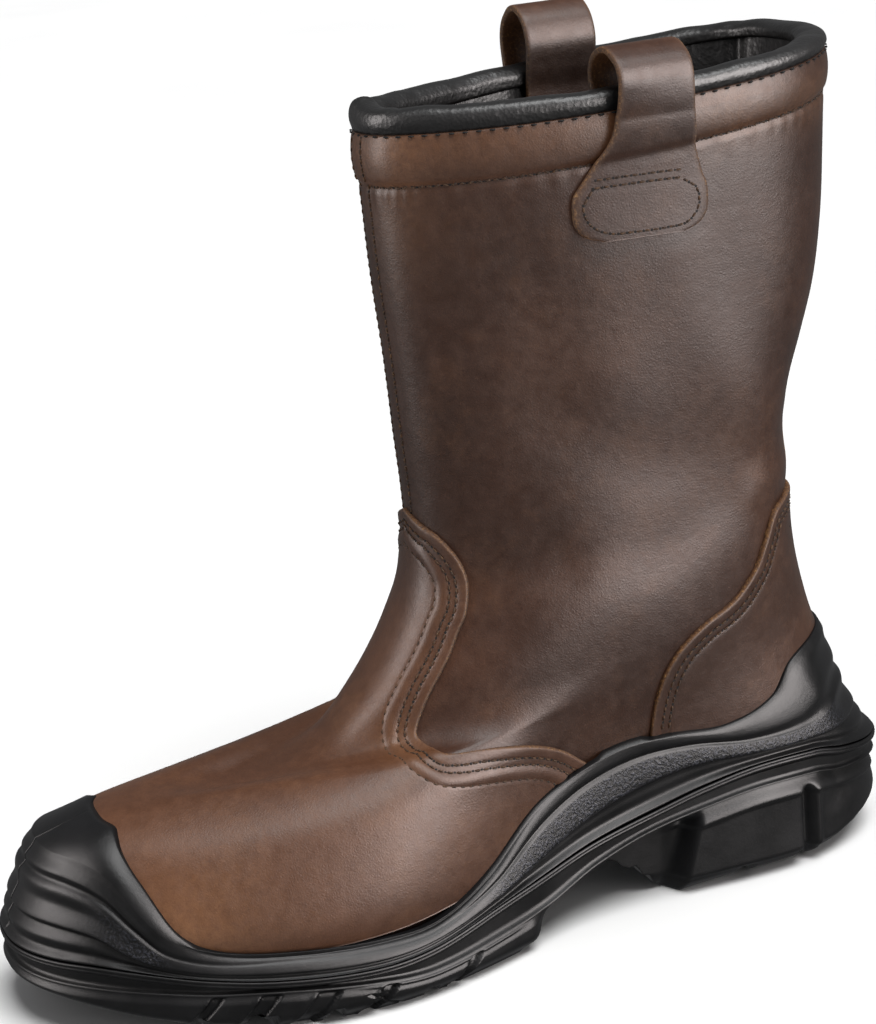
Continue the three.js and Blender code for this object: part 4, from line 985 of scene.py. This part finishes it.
def makeOutsole(c):
    """Side rings from the seat down to the tread's rim, and the tread across between its two sides."""
    b = boot
    phi = np.linspace(0, 2 * np.pi, c["columns"], endpoint=False)
    t = (1 - np.cos(phi)) / 2
    edge = sideLine("edge", t) - b["clear"] / 2
    shelf = np.minimum(sideLine("shelf", t), edge - b["flangeHeight"] * 1.6)
    inset = b["sideInset"] + b["heelInset"] * (1 - smoothStep(t, .2, .4)) + b["toeInset"] * smoothStep(t, .75, 1)
    seatPoints = planPoint(phi, 0 * phi + b["seatInset"])
    seatPoints[:, 2] = footbed(b["heelCentre"] - seatPoints[:, 1]) - b["midsoleFloor"] - b["clear"]

    def ring(insetOf, height):
        points = planPoint(phi, 0 * phi + insetOf)
        points[:, 2] = height
        return points
    plain = np.maximum(sideLine("ground", t), 0)
    toe = smoothStep(t, .9, .96)
    scallops = c["scallop"] * np.clip(np.cos((phi - np.pi) * 34), 0, 1) ** .6 * toe
    deep = b["grooveDepth"]
    flange = edge - b["flangeHeight"]
    rings = [seatPoints, ring(.5, edge), ring(.05, edge - .45), ring(0, edge - .9), ring(.45, edge - 1.25),
             ring(0, edge - 1.6), ring(.1, flange + .5), ring(.5, flange + .1)]
    rings += [ring(mix(1.0, deep, k), flange - .2 - .6 * k) for k in np.linspace(0, 1, 3)]
    rings += [ring(deep, mix(flange - .9, shelf + 1.1, k)) for k in np.linspace(.2, 1, 5)]
    rings += [ring(mix(deep, .75, k), shelf + .9 * (1 - k)) for k in np.linspace(.3, 1, 3)]
    bevel = b["bevelHeight"]
    for k in np.linspace(0, 1, c["sideRows"]) ** 1.15:
        z = mix(shelf - .3, plain, k)
        taper = np.clip(1 - (z - plain) / bevel, 0, 1)
        place = planPoint(phi, 0 * phi)
        s = b["heelCentre"] - place[:, 1]
        relief = sideRelief(s, z, t, shelf, plain, c)
        points = ring(np.maximum(relief, -.3) + (inset - 1.2) * taper ** 1.7, 0)
        lift = groundLift(points[:, 0], b["heelCentre"] - points[:, 1]) + scallops
        points[:, 2] = np.minimum(np.maximum(z, lift), shelf - .35)
        rings.append(points)
    side = np.stack(rings)
    half = c["columns"] // 2
    left, right = side[-1, 1:half], side[-1, :half:-1]
    w = np.linspace(0, 1, c["across"])[None, 1:-1, None]
    tread = mix(left[:, None], right[:, None], w)
    s = b["heelCentre"] - tread[..., 1]
    tread[..., 2] = np.minimum(groundLift(tread[..., 0], s), footbed(s) - b["midsoleFloor"] - 1.5)
    rim = np.minimum(w[..., 0], 1 - w[..., 0]) * (c["across"] - 1)
    edgeZ = np.where(w[..., 0] < .5, left[:, None, 2], right[:, None, 2])
    tread[..., 2] = mix(edgeZ, tread[..., 2], np.clip(rim / 2, 0, 1))
    topRing = side[0]
    seat = mix(topRing[1:half][:, None], topRing[:half:-1][:, None], np.linspace(0, 1, 8)[None, 1:-1, None])
    seat[..., 2] = footbed(b["heelCentre"] - seat[..., 1]) - b["midsoleFloor"] - b["clear"]
    sideFaces = gridFaces(side.shape[0], c["columns"], closeColumns=True)

    def acrossPiece(ringStart, inner, flip):
        """Faces between a ring's two halves through the points between them."""
        count = half - 1
        leftIds = ringStart + np.arange(1, half)
        rightIds = ringStart + np.arange(c["columns"] - 1, half, -1)
        ids = np.concatenate([leftIds[:, None], inner, rightIds[:, None]], 1)
        cells = gridFaces(count, ids.shape[1])
        faces = ids.ravel()[cells]
        tips = []
        for tip, row in ((ringStart, ids[0]), (ringStart + half, ids[-1])):
            tips += [[tip, row[j], row[j + 1], row[j + 1]] for j in range(len(row) - 1)]
        return faces[:, ::-1] if flip else faces, np.array(tips)
    start = side.shape[0] * c["columns"]
    treadIds = start + np.arange(tread.shape[0] * tread.shape[1]).reshape(tread.shape[:2])
    seatStart = start + treadIds.size
    seatIds = seatStart + np.arange(seat.shape[0] * seat.shape[1]).reshape(seat.shape[:2])
    treadFaces, treadTips = acrossPiece((side.shape[0] - 1) * c["columns"], treadIds, False)
    seatFaces, seatTips = acrossPiece(0, seatIds, True)
    points = np.concatenate([side.reshape(-1, 3), tread.reshape(-1, 3), seat.reshape(-1, 3)])
    quads = np.concatenate([sideFaces, treadFaces, seatFaces])
    tips = np.concatenate([treadTips, seatTips])
    return makeMixedPiece("outsole_tread", points, quads, tips[:, :3], soleRubber, "outsole")


def makeMixedPiece(name, points, quads, triangles, material, node):
    """As makePiece, for quads and triangles together, with the faces turned outwards by their neighbours."""
    mesh = bpy.data.meshes.new(name)
    mesh.from_pydata((points * mm).tolist(), [], quads.tolist() + triangles.tolist())
    work = bmesh.new()
    work.from_mesh(mesh)
    bmesh.ops.remove_doubles(work, verts=work.verts, dist=2e-6)
    bmesh.ops.recalc_face_normals(work, faces=work.faces)
    work.to_mesh(mesh)
    work.free()
    mesh.shade_smooth()
    mesh.materials.append(material)
    piece = bpy.data.objects.new(name, mesh)
    bpy.context.scene.collection.objects.link(piece)
    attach(piece, "root")
    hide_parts(node)
    return piece


outsole = makeOutsole(outsoleForm)
print("outsole made")


# Collar: the rolled binding over the rim and the padded lining inside
rollForm = dict(columns=360, out=[0, 0, .02, .12, .3, .55, .82, 1.0, 1.02, 1.0, .6],
                up=[-.05, .35, .68, .9, 1.0, 1.02, .92, .62, .25, -.1, -.1],
                bulge=[.1, 1.1, .9, .5, .1, 0, 0, -.5, -.7, -.3, 0])
liningForm = dict(columns=360, rows=40)
pleats = [(.35, .05, 1.6), (.9, .045, 1.3), (1.5, .05, 1.0), (2.25, .045, 1.8), (2.75, .05, 2.0),
          (3.55, .05, 1.9), (3.95, .04, 1.7), (4.6, .05, 1.2), (5.3, .045, 1.5), (5.9, .05, 1.8)]


def pleatDepth(phi):
    """How far the padding is pulled in at its pleats."""
    turn = np.mod(phi, 2 * np.pi)
    return sum(depth * hump(turn, at, wide) for at, wide, depth in pleats)


def rimPoint(phi, out, up):
    """Point beside the rim: out along the skin's level normal, up from the rim's edge."""
    level = skinNormal(phi, topRow)
    level[..., 2] = 0
    points = skin(phi, topRow) + unit(level) * np.asarray(out)[..., None]
    points[..., 2] = skin(phi, topRow)[..., 2] + up
    return points


def makeRoll(c):
    """Rings of the roll's cross-section, higher at the front, with soft dents and a small ear at the front corner."""
    b = boot
    phi = np.linspace(0, 2 * np.pi, c["columns"], endpoint=False)
    t = (1 - np.cos(phi)) / 2
    wall = b["wall"] + b["clear"] + b["lining"]
    height = mix(b["rollBack"], b["rollFront"], t)
    dents = .35 * np.sin(phi * 9 + 1) * np.sin(phi * 4) + .2 * np.sin(phi * 23)
    ear = 2.4 * hump(np.mod(phi, 2 * np.pi), np.pi + .1, .1)
    step = np.linspace(0, len(c["up"]) - 1, 34)
    key = np.arange(len(c["up"]))
    rings = []
    for place in step:
        out, up, bulge = (through(key, c[k], place) for k in ("out", "up", "bulge"))
        lift = max(up, 0)
        sink = .35 * pleatDepth(phi) * max(out, .2)
        ringOut = bulge * b["rollBulge"] - out * wall - dents * lift * .5
        rings.append(rimPoint(phi, ringOut, b["clear"] + up * height + lift * (dents * .6 + ear - sink)))
    points = np.stack(rings)
    faces = gridFaces(len(rings), c["columns"], closeRows=True, closeColumns=True)
    piece = makePiece("collar_roll", points, faces, bindingLeather, "collar_binding", "collar_binding")
    return piece


def makeLining(c):
    """Padded wall inside the rim: it swells between its pleats and thins out at its lower edge."""
    b = boot
    phi = np.linspace(0, 2 * np.pi, c["columns"], endpoint=False)
    rings = []
    for share in np.linspace(0, 1, c["rows"]):
        swell = np.sin(np.pi * np.clip(.25 + share * .7, 0, 1)) ** .6
        thick = b["lining"] * (swell * (1 + .16 * np.sin(phi * 6)) * (1 - smoothStep(share, .86, 1) * .9))
        thick = thick - pleatDepth(phi) * (1 - smoothStep(share, .5, .95))
        height = skin(phi, topRow)[:, 2] + .8 - share * b["liningDepth"]
        v = rowAtHeight(phi, np.minimum(height, skin(phi, topRow)[:, 2]))
        ring = skin(phi, v) - skinNormal(phi, v) * (b["wall"] + b["clear"] + np.maximum(thick, .4))[:, None]
        ring[:, 2] = height
        rings.append(ring)
    for share in (1, 0):
        height = skin(phi, topRow)[:, 2] + .2 - share * b["liningDepth"]
        v = rowAtHeight(phi, height)
        back = skin(phi, v) - skinNormal(phi, v) * (b["wall"] + b["clear"])
        back[:, 2] = height
        rings.append(back)
    points = np.stack(rings)
    faces = gridFaces(len(rings), c["columns"], closeRows=True, closeColumns=True)
    piece = makePiece("collar_padding", points, faces, liningLeather, "collar_lining", "collar_lining")
    return piece


roll = makeRoll(rollForm)
lining = makeLining(liningForm)
print("collar made")


# Pull loops: leather straps sewn down on a wide tab
loopRows = table(
    "over up bulge wide ahead flat",
    (0, -1, 0, .6, 0, 0), (0, -.95, 0, .84, 0, 0), (0, -.86, 0, .97, 0, 0), (0, -.74, 0, 1, 0, 0),
    (0, -.62, 0, .98, 0, 0), (0, -.53, 0, .9, -.01, 0), (0, -.34, .1, .74, -.05, .05), (0, -.16, .4, .63, -.09, .2),
    (0, .04, 1, .585, -.1, .4), (0, .3, 1.5, .575, -.1, .7), (0, .58, 1.6, .575, -.1, 1),
    (.1, .82, 1.3, .575, -.1, 1), (.3, .96, .6, .575, -.1, 1), (.5, 1, 0, .575, -.1, 1),
    (.7, .96, -.6, .575, -.1, 1), (.9, .82, -1.4, .575, -.1, 1), (1, .58, -1.8, .575, -.1, 1),
    (1, .3, -1.2, .575, -.1, .8), (1, .02, -.3, .575, -.1, .5), (1, -.3, 0, .59, -.1, .2), (1, -.62, 0, .6, -.1, 0),
)
loops = [dict(name="outer_pull_strap", node="pull_loop_outer", side=1, at=.289, rise=20.0),
         dict(name="inner_pull_strap", node="pull_loop_inner", side=-1, at=.268, rise=27.0)]
loopForm = dict(steps=150, across=[-1, -1, -.985, -.95, -.88, -.75, -.5, -.25, 0, .25, .5, .75, .88, .95, .985, 1, 1],
                rounding=[0, .5, .8, .95, 1, 1, 1, 1, 1, 1, 1, 1, 1, .95, .8, .5, 0])


def loopFrame(loop, c):
    """The strap's middle line beside the shaft, its half width and shift at each step."""
    b = boot
    key = np.arange(len(loopRows["up"]))
    fine = np.linspace(0, key[-1], c["steps"])
    row = {name: through(key, column, fine) for name, column in loopRows.items()}
    strapOuter = b["clear"] + b["loopThickness"] / 2
    strapInner = -(b["wall"] + b["clear"] + b["lining"]) - b["rollBulge"] - b["clear"] - b["loopThickness"] / 2
    away = mix(strapOuter, strapInner, row["over"]) + row["bulge"] * b["loopThickness"]
    height = b["rimHeight"] + row["up"] * np.where(row["up"] < 0, b["tabDepth"], loop["rise"])
    return away, height, row


def loopPoints(loop, c):
    """Points of the ring round the strap at each step: across its outer face, back across its inner face."""
    b = boot
    away, height, row = loopFrame(loop, c)
    path = np.stack([away, height], 1)
    along = unit(np.gradient(path, axis=0))
    normal = np.stack([along[:, 1], -along[:, 0]], 1)
    across = np.array(c["across"] + c["across"][::-1])
    face = np.concatenate([c["rounding"], -np.array(c["rounding"][::-1])])
    middle = (loop["at"] * b["soleLength"] + row["ahead"] * b["tabWidth"])[:, None]
    s = middle + across * row["wide"][:, None] * b["tabWidth"] / 2
    z = np.minimum(height, b["rimHeight"])[:, None]
    onFace = smoothStep(-row["over"], -.2, 0)[:, None]

    def skinX(s):
        phi, v = skinPlace(s, np.broadcast_to(z, s.shape), loop["side"])
        points = onSkin(phi, v, np.zeros(s.shape))
        return np.abs(points[..., 0]) + np.maximum(bandRelief(phi, points), 0) * onFace
    base = mix(skinX(s), skinX(middle), row["flat"][:, None])
    centre = path[:, None] + normal[:, None] * face[:, None] * b["loopThickness"] / 2
    return placed(loop["side"] * (base + centre[..., 0]), s, centre[..., 1])


def makeLoop(loop, c):
    """A closed strap with rounded cut edges and a raw inner face."""
    points = loopPoints(loop, c)
    count = points.shape[1]
    faces = np.concatenate([gridFaces(c["steps"], count, closeColumns=True), capFaces(0, count),
                            capFaces((c["steps"] - 1) * count, count)[:, ::-1]])
    raw = np.array([1, 1, .8, .3, 0] + [0] * 7 + [0, .3, .8, 1, 1], float)
    edge = np.tile(np.concatenate([raw, np.maximum(raw, .45)]), (c["steps"], 1))
    return makePiece(loop["name"], points, faces, shaftLeather, loop["node"], "shaft_leather", edge=edge,
                     rub=.3 * edge)


straps = [makeLoop(loop, loopForm) for loop in loops]
print("loops made")


# Sewing: each stitch is a short bead of thread that dips into the leather at both ends
stitch = dict(pitch=3.1, length=2.35, radius=.36, rings=6, sides=6, holeShadeRadius=.46)


def evenly(points, normals, pitch):
    """Places, directions and normals at even steps along a line of points."""
    length = np.concatenate([[0], np.cumsum(np.linalg.norm(np.diff(points, axis=0), axis=1))])
    count = max(int(length[-1] / pitch), 1)
    at = (np.arange(count) + .5) * length[-1] / count
    place = np.stack([np.interp(at, length, points[:, k]) for k in range(3)], 1)
    ahead = np.stack([np.interp(at + .6, length, points[:, k]) for k in range(3)], 1)
    behind = np.stack([np.interp(at - .6, length, points[:, k]) for k in range(3)], 1)
    normal = np.stack([np.interp(at, length, normals[:, k]) for k in range(3)], 1)
    along = unit(ahead - behind)
    normal = unit(normal - along * (normal * along).sum(1, keepdims=True))
    return place, along, normal


def beadGrid(c, long, radius):
    """One bead in its own frame: rings along it, thin at the ends, arched over its middle."""
    a = np.linspace(-1, 1, c["rings"])
    turn = np.arange(c["sides"]) * 2 * np.pi / c["sides"]
    thick = radius * (1 - np.abs(a) ** 3 * .75)
    x = np.repeat(a * long / 2, c["sides"])
    y = (thick[:, None] * np.cos(turn)).ravel()
    z = (thick[:, None] * np.sin(turn) + (.16 - .5 * a[:, None] ** 4)).ravel()
    return np.stack([x, y, z], 1)


def sewLines(name, lines, material, holeShadeMaterial, pitch=None, long=None, radius=None, slant=0.0):
    """All stitches of some lines as one mesh, and dark discs of painted shade at the needle holes between them as
    another.
    """
    c = stitch
    pitch, long, radius = pitch or c["pitch"], long or c["length"], radius or c["radius"]
    bead = beadGrid(c, long, radius)
    place, along, normal = (np.concatenate(parts) for parts in zip(*(evenly(p, n, pitch) for p, n in lines)))
    side = np.cross(normal, along)
    flip = np.where(np.arange(len(place)) % 2 == 0, 1.0, -1.0)[:, None] if slant else 0
    along2 = unit(along + side * slant * flip)
    side2 = np.cross(normal, along2)
    jitter = 1 + dice.normal(0, .05, (len(place), 1, 1))
    points = (place[:, None] + bead[None, :, :1] * along2[:, None] * jitter + bead[None, :, 1:2] * side2[:, None]
              + bead[None, :, 2:] * normal[:, None])
    one = gridFaces(c["rings"], c["sides"], closeColumns=True)
    caps = np.array([[0, 1, 2, 3], [0, 3, 4, 5]])
    one = np.concatenate([one, caps[:, ::-1], caps + (c["rings"] - 1) * c["sides"]])
    faces = (one[None] + np.arange(len(place))[:, None, None] * len(bead)).reshape(-1, 4)
    thread = makePiece(name, points, faces, material, slot="vamp_leather", weld=False)
    if holeShadeMaterial is None:
        return thread
    # Painted shade: a dark disc at each needle hole between the stitches
    ring = np.arange(8) * np.pi / 4
    disc = np.concatenate([[[0, 0]], np.stack([np.cos(ring), np.sin(ring)], 1) * c["holeShadeRadius"]])
    gapPlace = place + along * pitch / 2
    dome = np.array([.1] + [.02] * 8)
    shadeDiscs = (gapPlace[:, None] + disc[None, :, :1] * along[:, None] + disc[None, :, 1:] * side[:, None]
             + dome[None, :, None] * normal[:, None])
    cells = np.array([[0, 1, 2, 3], [0, 3, 4, 5], [0, 5, 6, 7], [0, 7, 8, 1]])
    faces = (cells[None] + np.arange(len(place))[:, None, None] * 9).reshape(-1, 4)
    makePiece(name + "_hole_shade", shadeDiscs, faces, holeShadeMaterial, slot="vamp_leather", weld=False)
    return thread


def panelLine(curve, inset, out, skip=6):
    """A line on a panel at a distance from its edge."""
    phi, v, inward = curve
    place, rise = movedOnSkin(phi, v, inward * inset)
    points = onSkin(place, rise, np.full(place.shape, out))
    normals = skinNormal(place, rise)
    s, z = boot["heelCentre"] - points[:, 1], points[:, 2]
    t = (s + boot["heelFlare"]) / (boot["soleLength"] + boot["heelFlare"] + boot["toeFlare"])
    shown = z > sideLine("lip", t) + 1.5
    return points[shown], normals[shown]


def seamLine(shift):
    """The front seam's stitch rows, to one side of the middle line."""
    v = np.linspace(9.1, topRow - .05, 160)
    phi = np.full(v.shape, np.pi) - shift / 30.0
    points = skin(phi, v)
    out = creaseDepth(points) + bandRelief(phi, points) + .25
    return points + skinNormal(phi, v) * out[:, None], skinNormal(phi, v)


def bandLine(drop, out):
    """A line round the shaft below the rim."""
    phi = np.linspace(.0, 2 * np.pi, 500)
    t = (1 - np.cos(phi)) / 2
    height = skin(phi, topRow)[:, 2] - bandDepth(t) * drop
    v = rowAtHeight(phi, height)
    points = skin(phi, v)
    lift = creaseDepth(points) + bandRelief(phi, points) + out
    return points + skinNormal(phi, v) * lift[:, None], skinNormal(phi, v)


def stayLine(side, inset):
    """A line along the backstay at a distance from its edge."""
    v = np.linspace(rowAtHeight(np.array([0.0]), 134.0)[0], topRow - .1, 200)
    reach = np.linspace(0, 1.1, 60)[None, :]
    arc = skin(reach, v[:, None])
    length = np.concatenate([np.zeros((200, 1)), np.cumsum(np.linalg.norm(np.diff(arc, axis=1), axis=2), 1)], 1)
    wide = boot["backstayWidth"] / 2 - inset
    phi = side * np.array([np.interp(wide, length[k], reach[0]) for k in range(200)])
    points = onSkin(phi, v, np.full(phi.shape, overlayOut - .25))
    points = points + skinNormal(phi, v) * (1.2 * hump(points[:, 2], boot["rimHeight"] + 1, 7))[:, None]
    return points, skinNormal(phi, v)


def tabLine(loop, rows):
    """A line on the tab through (share across, share of depth) rows."""
    b = boot
    path = alongPath(rows, 160)
    s = loop["at"] * b["soleLength"] + path[:, 0] * b["tabWidth"] / 2
    z = b["rimHeight"] - path[:, 1] * b["tabDepth"]
    phi, v = skinPlace(s, z, loop["side"])
    out = b["clear"] + b["loopThickness"]
    return onSkin(phi, v, np.full(phi.shape, out)), skinNormal(phi, v)


tabRound = [(-.6, .56), (-.82, .66), (-.84, .8), (-.66, .92), (-.3, .945), (.1, .945), (.5, .93), (.76, .84),
            (.84, .7), (.7, .56)]
tabAcross = [(-.6, .55), (-.2, .545), (.25, .545), (.7, .55)]
tabAcross2 = [(-.62, .485), (-.2, .48), (.25, .48), (.66, .485)]

sewLines("vamp_stitches", [panelLine(vampCurve, d, overlayOut - .3) for d in vampForm["rows"]], brownThread, holeShade)
sewLines("counter_stitches", [panelLine(counterCurve, d, overlayOut - .3) for d in counterForm["rows"]],
         brownThread, holeShade)
sewLines("front_seam_stitches", [seamLine(-1.9), seamLine(2.1)], brownThread, holeShade, pitch=2.9)
sewLines("band_stitches", [bandLine(1.0, .1)], brownThread, holeShade, pitch=2.6, long=2.2, radius=.33, slant=.5)
sewLines("stay_stitches", [stayLine(side, inset) for side in (1, -1) for inset in (3.4, 6.2)], brownThread, holeShade)
sewLines("tab_stitches", [tabLine(loop, rows) for loop in loops for rows in (tabRound, tabAcross, tabAcross2)],
         brownThread, holeShade, pitch=2.7, long=2.1)
sewLines("roll_stitches", [bandLine(.03, .35)], blackThread, None, pitch=4.2, long=1.9, radius=.34)
print("sewing made")

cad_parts["insole"].data.materials.clear()
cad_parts["insole"].data.materials.append(feltGrey)


# Stage: a pale floor and soft studio light
stageForm = dict(floor=16.0, floorTone="#f0f0f0", world=.2)


def makeStage(c):
    half = c["floor"] / 2
    mesh = bpy.data.meshes.new("floor")
    mesh.from_pydata([(-half, -half, 0), (half, -half, 0), (half, half, 0), (-half, half, 0)], [], [(0, 1, 2, 3)])
    material, tree, shader, where = startMaterial("paintedFloor")
    grain = add(tree, "ShaderNodeTexNoise", {"Vector": where, "Scale": size(400), "Detail": 3})
    tone = ramp(tree, grain.outputs["Fac"], [(.3, c["floorTone"]), (.7, "#f6f6f5")])
    tree.links.new(tone, shader.inputs["Base Color"])
    shader.inputs["Roughness"].default_value = .85
    mesh.materials.append(material)
    floor = bpy.data.objects.new("floor", mesh)
    floor.location.z = -.0002
    floor.visible_glossy = False
    bpy.context.scene.collection.objects.link(floor)
    world = bpy.data.worlds.new("studio")
    world.use_nodes = True
    world.node_tree.nodes["Background"].inputs["Color"].default_value = linear("#f2f3f5")
    world.node_tree.nodes["Background"].inputs["Strength"].default_value = c["world"]
    bpy.context.scene.world = world


def makeSoftbox(name, azimuth, elevation, distance, wide, tall, power, tint="#ffffff"):
    """A soft light on a bearing measured from the camera's, turned to the boot."""
    az = math.radians(camera["azimuth"] + azimuth)
    el = math.radians(elevation)
    aim = Vector((0, -.1, .14))
    back = Vector((math.sin(az) * math.cos(el), -math.cos(az) * math.cos(el), math.sin(el)))
    data = bpy.data.lights.new(name, "AREA")
    data.shape = "RECTANGLE"
    data.size, data.size_y = wide, tall
    data.energy = power
    data.color = linear(tint)[:3]
    light = bpy.data.objects.new(name, data)
    light.location = aim + back * distance
    light.visible_diffuse = False
    light.rotation_euler = back.to_track_quat("Z", "Y").to_euler()
    bpy.context.scene.collection.objects.link(light)


def makeSun(azimuth, elevation, strength, softness):
    """An even light over boot and floor, soft enough for a faint shadow."""
    az, el = math.radians(camera["azimuth"] + azimuth), math.radians(elevation)
    back = Vector((math.sin(az) * math.cos(el), -math.cos(az) * math.cos(el), math.sin(el)))
    data = bpy.data.lights.new("skylight", "SUN")
    data.energy = strength
    data.angle = math.radians(softness)
    light = bpy.data.objects.new("skylight", data)
    light.rotation_euler = back.to_track_quat("Z", "Y").to_euler()
    bpy.context.scene.collection.objects.link(light)


makeStage(stageForm)
makeSun(50, 72, 3.3, 40)
makeSoftbox("rightSoftbox", 52, 16, 1.3, 1.0, 1.2, 56, "#fdf6f4")
makeSoftbox("leftSoftbox", -78, 20, 1.3, .4, 1.2, 20, "#fdf6f4")
bpy.context.scene.view_settings.view_transform = "Standard"
print("stage made")
